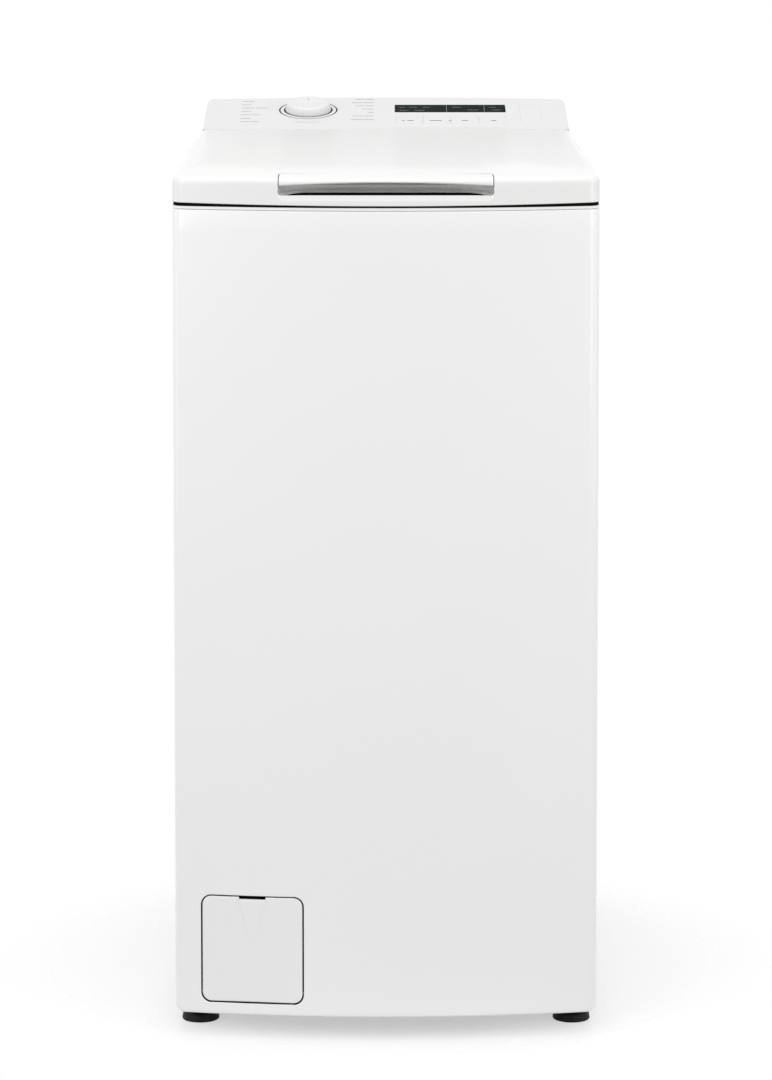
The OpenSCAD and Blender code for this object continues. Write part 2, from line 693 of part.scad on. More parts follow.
// ---- console ---------------------------------------------------------------------------------------------
console_in = 1; // the console is this much narrower than the lid, each side
console_wall = moulding + 1.5;
console_crown = 2.2; // fall of the console's top edge from its middle to its ends
top_c = [rear - console_r, height - console_r];
reach = norm(top_c - [console_y, console_z]);
console_slope = atan2(top_c[1] - console_z, top_c[0] - console_y) + asin(console_r / reach);
display_x = 71;
display_u = 75.5;
display_t = 2;
button_x = half - 40.6;
power_u = 39.5;
start_u = power_u + (power_l + start_l) / 2 + 1.6;
key_u = 32;
key_pitch = display_w / 4;
key_w = key_pitch - 1.6;
function key_x(i) = display_x - display_w / 2 + (i + 0.5) * key_pitch;
cap_t = 8; // depth of the buttons and keys below the face
board_n = -cap_t - press - 5;

// The console frame: origin in the middle of the face's front edge, Y up the face, Z out of it.
module on_console() translate([0, console_y, console_z]) rotate([console_slope, 0, 0]) children();

function face_z(y, t) = console_z + (y - console_y) * tan(console_slope) - t / cos(console_slope);
module console_profile(t, y0, drop)
    polygon(concat(
        [[y0, face_z(y0, t)], [y0, rim_z(y0) - drop], [rear - t, rim_z(rear - t) - drop]],
        arc(top_c, console_r - min(t, console_r - 0.2), 0, 90 + console_slope, 5)));

module console_outline() { // the console seen from the front, crowned, with round upper corners
    w = half - console_in;
    r = 6;
    z = height - console_crown;
    polygon(concat(
        [[-w, rim_z0], [w, rim_z0]],
        arc([w - r, z - r], r, 0, 78, 5),
        [for (i = [7 : -1 : -7]) let (x = (w - r) * i / 8) [x, height - console_crown * pow(x / w, 2)]],
        arc([-w + r, z - r], r, 102, 180, 5)));
}

module face_slot(x, u, w, l, r = 2, n0 = -60, n1 = 10) // a rounded prism square to the console's face
    on_console() translate([x, u, n0]) linear_extrude(n1 - n0) polygon(soft_rect(w, l, r));

module console_housing() color(white) {
    posts = [for (x = [-half + 34, 0, half - 20], u = [22, 96]) [x, u]];
    difference() {
        union() {
            difference() {
                intersection() {
                    across(-half + console_in, half - console_in) console_profile(0, console_y - 1, 0);
                    along(console_y - 5, rear + 1) console_outline();
                }
                across(-half + console_in + moulding, half - console_in - moulding)
                    console_profile(console_wall, console_y + 5, 1);
                on_hinge() x_rod(tail_r + 0.6, -half, half, 0, 0);
            }
            on_console() for (p = posts) translate([p[0], p[1], board_n])
                cylinder(r = 4, h = -board_n - 1, $fn = 24);
            on_console() translate([knob_x, knob_u, -6.5]) cylinder(r = bezel_r + 3, h = 5, $fn = 64);
        }
        face_slot(display_x, display_u, display_w - 6, display_h - 6, 1);
        face_slot(display_x, display_u, display_w + 0.4, display_h + 0.4, 1, -display_t);
        on_console() translate([knob_x, knob_u, -3.4]) cylinder(r = bezel_r + 0.5, h = 20, $fn = 96);
        on_console() translate([knob_x, knob_u, -20]) cylinder(r = 4, h = 40, $fn = 48);
        for (i = [0 : 3]) face_slot(key_x(i), key_u, key_w + 2 * button_gap, key_l + 2 * button_gap);
        face_slot(button_x, start_u, button_w + 2 * button_gap, start_l + 2 * button_gap);
        face_slot(button_x, power_u, button_w + 2 * button_gap, power_l + 2 * button_gap);
    }
}

module display_lens() color(dark) face_slot(display_x, display_u, display_w, display_h, 1, -display_t, 0);

module knob_bezel() color(white) on_console() translate([knob_x, knob_u, 0]) difference() {
    translate([0, 0, -3.4]) cylinder(r = bezel_r - 0.4, h = 3.7, $fn = 96);
    translate([0, 0, -1.4]) cylinder(r = knob_r + 0.5, h = 4, $fn = 96);
    translate([0, 0, -5]) cylinder(r = 4, h = 10, $fn = 48);
}

module program_knob() color(white) on_console() translate([knob_x, knob_u, 0]) {
    top = knob_r - 4;
    difference() {
        rotate_extrude($fn = 96)
            polygon(concat([[0, -1], [knob_r - 0.6, -1], [knob_r, -0.4]],
                arc([top - 2.4, knob_h - 2.4], 2.4, 12, 80, 5),
                [for (i = [1 : 5]) let (r = (top - 4) * (1 - i / 5))
                    [r, knob_h - 1.4 + 1.2 * pow(r / (top - 4), 2)]]));
        translate([-0.7, top - 8, knob_h - 1]) cube([1.4, 6, 4]); // pointer groove
    }
    translate([0, 0, -10]) cylinder(r = 3, h = 10, $fn = 48);
}

module key_cap(x, u, w, l) color(white) face_slot(x, u, w, l, 1.6, -cap_t, 0.3);
module start_button() key_cap(button_x, start_u, button_w, start_l);
module power_button() key_cap(button_x, power_u, button_w, power_l);
module option_key_1() key_cap(key_x(0), key_u, key_w, key_l);
module option_key_2() key_cap(key_x(1), key_u, key_w, key_l);
module option_key_3() key_cap(key_x(2), key_u, key_w, key_l);
module option_key_4() key_cap(key_x(3), key_u, key_w, key_l);

// The printed board, with the selector under the knob, the display module and a switch under each button.
module control_board() color([0.10, 0.30, 0.18]) on_console() {
    switch_top = -cap_t - press - 0.3;
    translate([7, 59, board_n - 1.6]) linear_extrude(1.6) polygon(soft_rect(width - 40, 84, 3));
    for (p = concat([for (i = [0 : 3]) [key_x(i), key_u]], [[button_x, start_u], [button_x, power_u]]))
        translate([p[0] - 3, p[1] - 3, board_n - 0.1]) cube([6, 6, switch_top - board_n + 0.1]);
    translate([display_x - display_w / 2 + 5, display_u - display_h / 2 + 5, board_n - 0.1])
        cube([display_w - 10, display_h - 10, -board_n - display_t - 0.2]);
    difference() {
        translate([knob_x, knob_u, board_n - 0.1]) cylinder(r = 10, h = 6.6, $fn = 48);
        translate([knob_x, knob_u, board_n + 1]) cylinder(r = 3 + run_fit, h = 8, $fn = 48);
    }
}

// ---- water -----------------------------------------------------------------------------------------------
sump_x = door_x + 18;
sump_bend = 40;
spigot_r = 14;
hose_t = 3;
pump_back = filter_y0 + 124;
sump_y = pump_back + 90;

well_y = rear - rear_panel_in + sheet - 26; // front face of the wells in the rear panel

module inlet_valve() color(white) {
    well = well_y;
    difference() {
        union() {
            y_rod(hose_nozzle_r, well - 2, rear - 1, valve_x, valve_z);
            y_rod(18, well - 10, well - 0.3, valve_x, valve_z);
            y_rod(16, well + sheet + 0.3, well + sheet + 3, valve_x, valve_z);
            block([valve_x - 16, well - 46, valve_z - 14], [valve_x + 16, well - 10, valve_z + 14]);
            z_rod(13, valve_z - 44, valve_z - 14, valve_x, well - 28);
        }
        y_rod(hose_nozzle_r - 4, well - 30, rear, valve_x, valve_z);
    }
}

module inlet_pipe() color(cream) difference() {
    union() {
        y_rod(9, drum_y + neck_y + moulding, well_y - 46, valve_x, valve_z);
        y_rod(12, drum_y + neck_y + moulding, drum_y + neck_y + moulding + 3, valve_x, valve_z);
    }
    y_rod(6.5, drum_y, rear - 90, valve_x, valve_z);
}

module drain_pump() color(cream) {
    difference() {
        union() {
            y_rod(pump_r, filter_y0, pump_back, door_x, door_z);
            y_rod(pump_r + 3, filter_y0, filter_y0 + 6, door_x, door_z);
            for (y = [filter_y0 + 40, filter_y0 + 70]) y_rod(pump_r + 2, y, y + 3, door_x, door_z);
            y_rod(spigot_r, pump_back - 1, pump_back + 26, sump_x, door_z);
            x_rod(26, door_x, door_x + 74, pump_back - 30, door_z);
            z_rod(drain_r, door_z, door_z + pump_r + 16, door_x - 22, pump_back - 14);
        }
        y_rod(filter_r + run_fit, filter_y0 - 1, filter_y0 + 20, door_x, door_z);
        y_rod(filter_r - 1, filter_y0 - 1, filter_y0 + 90, door_x, door_z);
    }
    block([door_x + 60, pump_back - 52, door_z - 22], [door_x + 112, pump_back - 8, door_z + 22]);
}

// The cap of the lint filter, with its grip bar outside and its finned basket inside.
module drain_filter() color(white) {
    y_rod(filter_r + 5, filter_y0 - 7, filter_y0 - 0.3, door_x, door_z);
    y_rod(filter_r, filter_y0 - 1, filter_y0 + 16, door_x, door_z);
    block([door_x - 20, filter_y0 - 16, door_z - 4.5], [door_x + 20, filter_y0 - 6, door_z + 4.5]);
    difference() {
        y_rod(filter_r - 3, filter_y0 + 15, filter_y0 + 70, door_x, door_z);
        y_rod(filter_r - 6, filter_y0 + 20, filter_y0 + 71, door_x, door_z);
        for (i = [0 : 3])
            block([door_x - 50, filter_y0 + 26 + 11 * i, door_z - 20],
                  [door_x + 50, filter_y0 + 31 + 11 * i, door_z + 20]);
    }
}

// Bent parts of a pipe in the YZ plane: from the Y direction up into Z.
module elbow(outer, inner, bend, x, y, z, turn) translate([x, y, z]) rotate([0, 0, 90]) rotate([90, 0, 0])
    rotate([0, 0, turn]) rotate_extrude(angle = 90, $fn = 64) translate([bend, 0]) difference() {
        circle(r = outer, $fn = 32);
        circle(r = inner, $fn = 32);
    }

// From the pump back along the base, up behind the tub and out through the rear panel.
module drain_pipe() {
    x = door_x - 22;
    z0 = door_z + pump_r + 34;
    y0 = pump_back - 14;
    y1 = rear - 62;
    b = 18;
    r = drain_r;
    t = 2;
    inner = r - t;
    module tube_y(a, b, z) difference() {
        y_rod(r, a, b, spigot_x, z);
        y_rod(inner, a - 1, b + 1, spigot_x, z);
    }
    color(cream) {
        difference() {
            z_rod(r, door_z + pump_r + 16, z0, x, y0);
            z_rod(inner, door_z, z0 + 1, x, y0);
        }
        difference() { // foot of the run: a small chamber that turns the flow
            block([spigot_x - 12, y0 - 12, z0 - 0.1], [x + 12, y0 + 12, z0 + 22]);
            block([spigot_x - 8, y0 - 8, z0 - 1], [x + 8, y0 + 13, z0 + 18]);
        }
        tube_y(y0 + 12, y1 - b, z0 + 11);
        elbow(r, inner, b, spigot_x, y1 - b, z0 + 11 + b, -90);
        difference() {
            z_rod(r, z0 + 11 + b, spigot_z - b, spigot_x, y1);
            z_rod(inner, z0 + b, spigot_z, spigot_x, y1);
        }
        elbow(r, inner, b, spigot_x, y1 + b, spigot_z - b, 90);
        tube_y(y1 + b, rear - 3, spigot_z);
        difference() { // flanges on both sides of the rear panel's well
            union() {
                y_rod(r + 4, well_y - 6, well_y - 0.3, spigot_x, spigot_z);
                y_rod(r + 3, well_y + sheet + 0.3, well_y + sheet + 3, spigot_x, spigot_z);
            }
            y_rod(r - 1, well_y - 7, well_y + 5, spigot_x, spigot_z);
        }
    }
}

module sump_hose() color(rubber) {
    y0 = pump_back + 2;
    ro = spigot_r + 0.1 + hose_t;
    ri = spigot_r + 0.1;
    difference() {
        y_rod(ro, y0, sump_y - sump_bend, sump_x, door_z);
        y_rod(ri, y0 - 1, sump_y - sump_bend + 1, sump_x, door_z);
    }
    elbow(ro, ri, sump_bend, sump_x, sump_y - sump_bend, door_z + sump_bend, -90);
    difference() {
        union() {
            z_rod(ro, door_z + sump_bend, drum_z - tub_out - 8, sump_x, sump_y);
            for (i = [0 : 3]) let (z = door_z + sump_bend + 6 + 8 * i)
                z_rod(ro + 2.5, z, z + 4, sump_x, sump_y);
        }
        z_rod(ri, door_z + sump_bend - 1, drum_z - tub_out, sump_x, sump_y);
    }
}

module cord_gland() color(dark) {
    y0 = rear - 2 * sheet - 0.4;
    difference() {
        union() {
            y_rod(9, y0 - 14, y0 + 1, cord_x, cord_z);
            y_rod(13, y0, rear - 0.4, cord_x, cord_z);
            y_rod(12, y0 - 16, y0 - sheet - 0.3, cord_x, cord_z);
        }
        y_rod(4.2, y0 - 30, rear + 1, cord_x, cord_z);
    }
}

// ---- tub -------------------------------------------------------------------------------------------------
module drum_rod(r, x0, x1) translate([x0, drum_y, drum_z]) rotate([0, 90, 0])
    cylinder(r = r, h = x1 - x0, $fn = 144);
hub_x = bearing_x + bearing_w + 2;

module spring_lug() for (s = [-1, 1]) difference() {
    translate([0, drum_y + spring_dy * s, 0]) union() {
        block([tub_end - 0.5, -12, spring_z0 - 8], [spring_x + 12, 12, spring_z0]);
        block([tub_end - 0.5, -2, spring_z0 - 34], [spring_x, 2, spring_z0 - 4]);
    }
    z_rod(2.5, spring_z0 - 20, spring_z0 + 1, spring_x, drum_y + spring_dy * s);
}

module end_ribs(x0, x1, r1) for (i = [0 : 9])
    translate([0, drum_y, drum_z]) rotate([36 * i + 18, 0, 0]) block([x0, -2, bearing_r + 6], [x1, 2, r1]);

module tub_shell() color(cream) {
    difference() {
        union() {
            drum_rod(tub_out, -tub_end, tub_half);
            for (x = [-100, -40, 40, 100]) drum_rod(tub_out + 5, x - 2, x + 2);
            drum_rod(tub_out + 5, tub_half - 8, tub_half);
            throat(3, drum_z, neck_z);
            drum_rod(bearing_r + 9, -hub_x, -tub_end);
            end_ribs(-tub_end - 6, -tub_end + 0.5, 112);
            z_rod(spigot_r, drum_z - tub_out - 22, drum_z - tub_out + 30, sump_x, sump_y);
            for (x = [motor_x0 + 8, motor_x1 - 27]) motor_arm(x, 12);
            for (p = damper_places) z_rod(9, damper_top + 2, drum_z - tub_r + 60, p[0], p[1]);
        }
        drum_rod(tub_r, -tub_half, tub_end);
        throat(0, drum_z, neck_z + 1);
        drum_rod(bearing_r, -bearing_x - bearing_w, -bearing_x);
        drum_rod(shaft_r + 4, -hub_x - 1, -tub_half + 1);
        z_rod(spigot_r - 3, drum_z - tub_out - 23, drum_z - tub_r + 20, sump_x, sump_y);
    }
    mirror([1, 0, 0]) spring_lug();
}

module tub_cover() color(cream) {
    difference() {
        union() {
            drum_rod(tub_out + 5, tub_half, tub_end);
            drum_rod(bearing_r + 9, tub_end - 1, hub_x);
            end_ribs(tub_end - 0.5, tub_end + 6, 112);
            for (i = [0 : 15]) translate([0, drum_y, drum_z]) rotate([22.5 * i + 11, 0, 0])
                x_rod(4, tub_end - 1, tub_end + 3, 0, tub_out - 2);
        }
        drum_rod(bearing_r, bearing_x, bearing_x + bearing_w);
        drum_rod(shaft_r + 4, tub_half - 1, hub_x + 1);
        for (y = [-heater_y, heater_y]) x_rod(heater_t + 0.1, tub_half - 1, tub_end + 1, drum_y + y, heater_z);
    }
    spring_lug();
}

motor_x0 = pulley_x0 - 14 - motor_l;
motor_x1 = pulley_x0 - 14;
module motor_arm(x, w) // from the tub's underside to a lug of the motor
    intersection() {
        translate([0, drum_y, drum_z]) rotate([atan2(motor_y - drum_y, drum_z - motor_z), 0, 0])
            block([x, -9, -tub_out - 30], [x + w, 9, -tub_r - 1]);
        difference() {
            block([-half, front, 0], [half, rear, drum_z]);
            x_rod(motor_r + 0.2, -half, half, motor_y, motor_z);
        }
    }

// A cast concrete block round the lower half of the tub's closed end.
module counterweight() color([0.55, 0.55, 0.53]) difference() {
    drum_rod(tub_out - 24, -tub_end - 38, -tub_end);
    drum_rod(120, -tub_end - 39, 0);
    block([-half, front, drum_z - 30], [half, rear, height]);
    for (a = [-50, 0, 50]) translate([0, drum_y, drum_z]) rotate([a, 0, 0])
        x_rod(8, -tub_end - 39, -tub_end - 24, 0, 81 - tub_out);
}

heater_y = 14;
heater_t = 3.5;
heater_z = drum_z - sqrt(pow(tub_r - heater_t - 4, 2) - heater_y * heater_y);
module heating_element() color(steel) {
    x0 = -tub_half + 30;
    for (y = [-heater_y, heater_y]) x_rod(heater_t, x0, tub_end + 14, drum_y + y, heater_z);
    translate([x0, drum_y, heater_z]) rotate([0, 0, 90]) rotate_extrude(angle = 180, $fn = 48)
        translate([heater_y, 0]) circle(r = heater_t, $fn = 24);
    difference() {
        block([tub_end, drum_y - 30, heater_z - 9], [tub_end + 4, drum_y + 30, heater_z + 9]);
        for (y = [-heater_y, heater_y]) x_rod(heater_t, tub_end - 1, tub_end + 5, drum_y + y, heater_z);
    }
}

module ring(r0, r1, x0, x1) difference() { drum_rod(r1, x0, x1); drum_rod(r0, x0 - 1, x1 + 1); }
race_in = shaft_r + 4.5;
race_out = bearing_r - 5.2;
module bearing_outer_rings() color(steel) mirrored() ring(race_out, bearing_r, bearing_x, bearing_x + bearing_w);
module bearing_inner_rings() color(steel) mirrored() {
    ring(shaft_r, race_in, bearing_x, bearing_x + bearing_w);
    ball = (race_out - race_in) / 2 - 0.15;
    for (i = [0 : 8]) translate([bearing_x + bearing_w / 2, drum_y, drum_z]) rotate([40 * i, 0, 0])
        translate([0, 0, race_in + ball - 0.1]) sphere(r = ball, $fn = 24);
}

module drive_motor() color(steel) {
    difference() {
        union() {
            x_rod(motor_r, motor_x0 + 12, motor_x1 - 12, motor_y, motor_z);
            for (x = [motor_x0, motor_x1 - 12]) x_rod(motor_r - 4, x, x + 12.1, motor_y, motor_z);
            x_rod(16, motor_x1, motor_x1 + 6, motor_y, motor_z);
        }
        x_rod(6 + run_fit, motor_x0 + 20, motor_x1 + 7, motor_y, motor_z);
        for (i = [0 : 7]) translate([0, motor_y, motor_z]) rotate([45 * i + 20, 0, 0])
            x_rod(6, motor_x1 - 6, motor_x1 + 1, 0, 34);
    }
}

module motor_pulley() color(steel) {
    x_rod(6, motor_x1 - 40, pulley_x0 + belt_w + 2, motor_y, motor_z);
    difference() {
        x_rod(motor_pulley_r, pulley_x0 - 2, pulley_x0 + belt_w + 2, motor_y, motor_z);
        for (i = [0 : 3]) translate([pulley_x0 + 2 + 3 * i, motor_y, motor_z]) rotate([0, 90, 0])
            rotate_extrude($fn = 48) translate([motor_pulley_r - 1.2, 0]) square([3, 1.2]);
    }
}

module drive_belt() {
    module loop(grow) hull() {
        translate([drum_y, drum_z]) circle(r = pulley_r + grow, $fn = 96);
        translate([motor_y, motor_z]) circle(r = motor_pulley_r + grow, $fn = 32);
    }
    color(dark) across(pulley_x0 + 1, pulley_x0 + belt_w - 1) difference() {
        loop(0.35 + belt_t);
        loop(0.35);
    }
}

// Friction dampers: cylinders stand on the base, rods hang from the tub.
module damper_cylinders() color(dark) for (p = damper_places) difference() {
    z_rod(damper_r, pan_z + 6, damper_top - 50, p[0], p[1]);
    z_rod(7 + run_fit, pan_z + 20, damper_top, p[0], p[1]);
}
module damper_rods() color(steel) for (p = damper_places) {
    z_rod(7, damper_top - 110, damper_top - 4, p[0], p[1]);
    z_rod(10, damper_top - 6, damper_top + 2, p[0], p[1]);
}

// Coil springs between the shelves of the side panels and the tub's lugs.
module coil(r, wire, z0, z1, turns) {
    steps = 9 * turns;
    skin([for (i = [0 : steps]) let (a = 360 * i / 9, z = z0 + (z1 - z0) * i / steps)
        [for (k = [0 : 5]) let (b = 60 * k)
            [(r + wire * sin(b)) * cos(a), (r + wire * sin(b)) * sin(a), z + wire * cos(b)]]]);
}
module suspension_springs() color(steel) for (sx = [-1, 1], sy = [-1, 1])
    translate([sx * spring_x, drum_y + spring_dy * sy, 0])
        coil(9, 1.7, spring_z0 + 2, spring_z1 - 1, 9);

// A folded rubber sleeve from the tub's neck up to the collar of the top frame.
module bellows() {
    folds = 8;
    function wave(i) = i % 2 == 0 ? 0 : 5;
    function rings(t, over) = [for (i = [0 : folds])
        let (z = neck_z + bellows_h * i / folds + (i == 0 ? -over : i == folds ? over : 0), g = wave(i) + t)
        [for (p = soft_rect(2 * (neck_x + g), 2 * (neck_y + g), neck_r + g, 4)) [p[0], drum_y + p[1], z]]];
    color(rubber) difference() {
        skin(rings(2.4, 0));
        skin(rings(0.4, 1));
    }
}

// ---- drum ------------------------------------------------------------------------------------------------
flap_pin_r = 2;
knuckle_r = 3.4;
knuckle_at = drum_r - knuckle_r + 0.4; // the flap hinges lie this far from the drum's axis
knuckle_z = sqrt(knuckle_at * knuckle_at - mouth_y * mouth_y);
mouth_edge = mouth_y + knuckle_r + flap_gap;
knuckle_len = (2 * mouth_x - 12) / 5;
function knuckle_x(i) = -mouth_x + 6 + knuckle_len * i;

module on_drum() translate([0, drum_y, drum_z]) children();

module drum_shell() color(steel) {
    difference() {
        drum_rod(drum_r, -drum_half, drum_half);
        drum_rod(drum_r - drum_t, -drum_half - 1, drum_half + 1);
        on_drum() block([-mouth_x, -mouth_edge, 0], [mouth_x, mouth_edge, drum_r + 1]);
        for (row = [-3 : 3], i = [0 : 11]) // the holes are staggered from row to row
            on_drum() rotate([180 + 17 * (i - 5.5) + 8.5 * (abs(row) % 2) - 4.25, 0, 0])
                translate([33 * row, 0, drum_r - 3]) cylinder(r = hole_r, h = 6, $fn = 16);
    }
    for (s = [-1, 1], i = [0, 2, 4]) on_drum() difference() { // ears for the flaps' hinge pins
        union() {
            x_rod(knuckle_r, knuckle_x(i) + 0.3, knuckle_x(i + 1) - 0.3, s * mouth_y, knuckle_z);
            block([knuckle_x(i) + 0.3, s * mouth_y + (s > 0 ? 0 : -knuckle_r - 4), knuckle_z - 2.4],
                  [knuckle_x(i + 1) - 0.3, s * mouth_y + (s > 0 ? knuckle_r + 4 : 0), knuckle_z - 0.6]);
        }
        x_rod(flap_pin_r, -half, half, s * mouth_y, knuckle_z);
    }
}

module flap_hinge_pins() color(steel) on_drum() for (s = [-1, 1])
    x_rod(flap_pin_r, knuckle_x(0) - 2, knuckle_x(5) + 2, s * mouth_y, knuckle_z);

// One flap, as the one whose hinge lies at +Y: a bent sheet with folded ends and two hinge knuckles.
module flap() {
    x1 = mouth_x - flap_gap;
    t = 1.2;
    module shell(r0, r1) intersection() {
        difference() { x_rod(r1, -x1, x1, 0, 0, $fn = 144); x_rod(r0, -x1 - 1, x1 + 1, 0, 0, $fn = 144); }
        block([-x1, flap_gap / 2, 0], [x1, mouth_y - knuckle_r - 0.6, drum_r + 1]);
    }
    difference() {
        union() {
            shell(drum_r - 0.4 - t, drum_r - 0.4);
            intersection() { // folded rim
                shell(drum_r - 9, drum_r - 1);
                union() {
                    for (s = [-1, 1])
                        block([s * (x1 - t / 2) - t / 2, 0, 0], [s * (x1 - t / 2) + t / 2, drum_r, drum_r]);
                    block([-x1, flap_gap / 2, 0], [x1, flap_gap / 2 + t, drum_r]);
                    block([-x1, mouth_y - knuckle_r - 0.6 - t, 0], [x1, mouth_y, drum_r]);
                }
            }
            for (i = [1, 3]) { // knuckles between the drum's ears
                x_rod(knuckle_r, knuckle_x(i) + 0.3, knuckle_x(i + 1) - 0.3, mouth_y, knuckle_z);
                block([knuckle_x(i) + 0.3, mouth_y - knuckle_r - 1.8, knuckle_z - 2.6],
                      [knuckle_x(i + 1) - 0.3, mouth_y, knuckle_z + 0.4]);
            }
        }
        x_rod(flap_pin_r + run_fit, -half, half, mouth_y, knuckle_z);
        for (x = [-66 : 22 : 66], y = [45, 70]) translate([x, y, 0])
            cylinder(r = hole_r, h = drum_r + 2, $fn = 16);
    }
}
latch_y = 22;
latch_r = 11;
module front_drum_flap() color(steel) on_drum() mirror([0, 1, 0]) flap();
module rear_drum_flap() color(steel) on_drum() difference() {
    union() {
        flap();
        translate([0, latch_y, drum_r - 14]) cylinder(r = latch_r + 2, h = 10.6, $fn = 48);
    }
    translate([0, latch_y, drum_r - 12]) cylinder(r = latch_r, h = 14, $fn = 48);
}
module flap_button() color(grey) on_drum() {
    translate([0, latch_y, drum_r - 8]) cylinder(r = latch_r - 0.3, h = 6.4, $fn = 48);
}

module drum_ends() color(steel) on_drum() mirrored() translate([drum_half - 6, 0, 0]) rotate([90, 0, 90])
    rotate_extrude($fn = 144) polygon([
        [0, 5], [64, 5], [72, 0], [drum_r - 85, 0], [drum_r - 77, 4], [drum_r - 13, 4], [drum_r - 9, 0],
        [drum_r - drum_t, -6], [drum_r - drum_t, 6],
        [drum_r - drum_t - 4, 6], [drum_r - 16, 5.2], [drum_r - 79, 5.2], [drum_r - 87, 1.2], [73, 1.2],
        [65, 6], [0, 6]]);

module drum_paddles() color(cream) on_drum() for (a = [100, 180, 260]) rotate([a, 0, 0]) intersection() {
    across(-drum_half + 13, drum_half - 13) difference() {
        polygon(concat([[30, drum_r], [-30, drum_r]], arc([0, drum_r - paddle_h + 11], 11, 200, 340, 6)));
        polygon(concat([[25, drum_r + 1], [-25, drum_r + 1]], arc([0, drum_r - paddle_h + 12], 9, 200, 340, 6)));
    }
    x_rod(drum_r - drum_t, -drum_half, drum_half, 0, 0, $fn = 144);
}

module drum_shafts() color(steel) on_drum() mirrored() {
    x_rod(shaft_r, drum_half, pulley_x0 + belt_w + 6, 0, 0);
    x_rod(60, drum_half, drum_half + 4.5, 0, 0, $fn = 96);
    for (a = [0, 120, 240]) rotate([a + 30, 0, 0]) block([drum_half, -13, 0], [drum_half + 4.5, 13, drum_r - 30]);
}

module drum_pulley() color(steel) on_drum() difference() {
    x_rod(pulley_r, pulley_x0, pulley_x0 + belt_w, 0, 0, $fn = 144);
    for (i = [0 : 5]) rotate([60 * i, 0, 0]) // windows between the spokes
        across(pulley_x0 - 1, pulley_x0 + belt_w + 1)
        polygon(concat(arc([0, 0], pulley_r - 14, 70, 110, 6), arc([0, 0], 34, 100, 80, 2)));
    ring_cut = pulley_r - 10;
    for (x = [pulley_x0 - 1, pulley_x0 + belt_w - 4]) difference() {
        x_rod(ring_cut, x, x + 5, 0, 0, $fn = 144);
        x_rod(24, x - 1, x + 6, 0, 0);
    }
    x_rod(shaft_r, pulley_x0 - 1, pulley_x0 + belt_w + 1, 0, 0);
    for (i = [0 : 3]) translate([pulley_x0 + 1.6 + 3 * i, 0, 0]) rotate([0, 90, 0])
        rotate_extrude($fn = 144) translate([pulley_r - 1.4, 0]) square([3, 1.4]);
}

// ---- filter door -----------------------------------------------------------------------------------------
module filter_door() color(white) {
    t = 2.5;
    intersection() {
        union() {
            difference() {
                translate([0, 0, door_z0]) linear_extrude(door_h) plan(0.1);
                linear_extrude(height) plan(0.1 + t);
                along(front - 1, front + 40) translate([door_x, door_z0 + door_h])
                    square([26, 5], center = true);
            }
        }
        along(front - 1, front + 40) front_opening(0);
    }
    on_door() for (s = [-1, 1]) {
        x_rod(door_pin_r, s * (door_w / 2 + 2.2) - 5, s * (door_w / 2 + 2.2) + 5, 0, 0);
        block([s * (door_w / 2 - 4) - 2, -door_pin_in + 2, -2], [s * (door_w / 2 - 4) + 2, 2, 12]);
    }
    on_door() block([-8, -3.5, door_h - 20], [8, 5, door_h - 16]); // catch
}

base_pan();
front_panel();
left_side_panel();
right_side_panel();
rear_panel();
top_frame();
console_housing();
display_lens();
knob_bezel();
control_board();
door_lock();
rear_feet();
inlet_valve();
inlet_pipe();
drain_pump();
drain_pipe();
cord_gland();
transport_caps();
panel_screws();
damper_cylinders();
suspension_springs();
bellows();
sump_hose();
lid_shell();
lid_liner();
lid_handle();
handle_trough();
lid_hinge_pins();
lid_hook();
detergent_tray();
tub_shell();
tub_cover();
counterweight();
heating_element();
bearing_outer_rings();
drive_motor();
drive_belt();
damper_rods();
drum_shell();
drum_ends();
drum_paddles();
drum_shafts();
bearing_inner_rings();
drum_pulley();
flap_hinge_pins();
front_drum_flap();
rear_drum_flap();
flap_button();
motor_pulley();
program_knob();
start_button();
power_button();
option_key_1();
option_key_2();
option_key_3();
option_key_4();
filter_door();
drain_filter();
left_front_foot();
right_front_foot();
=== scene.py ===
import math

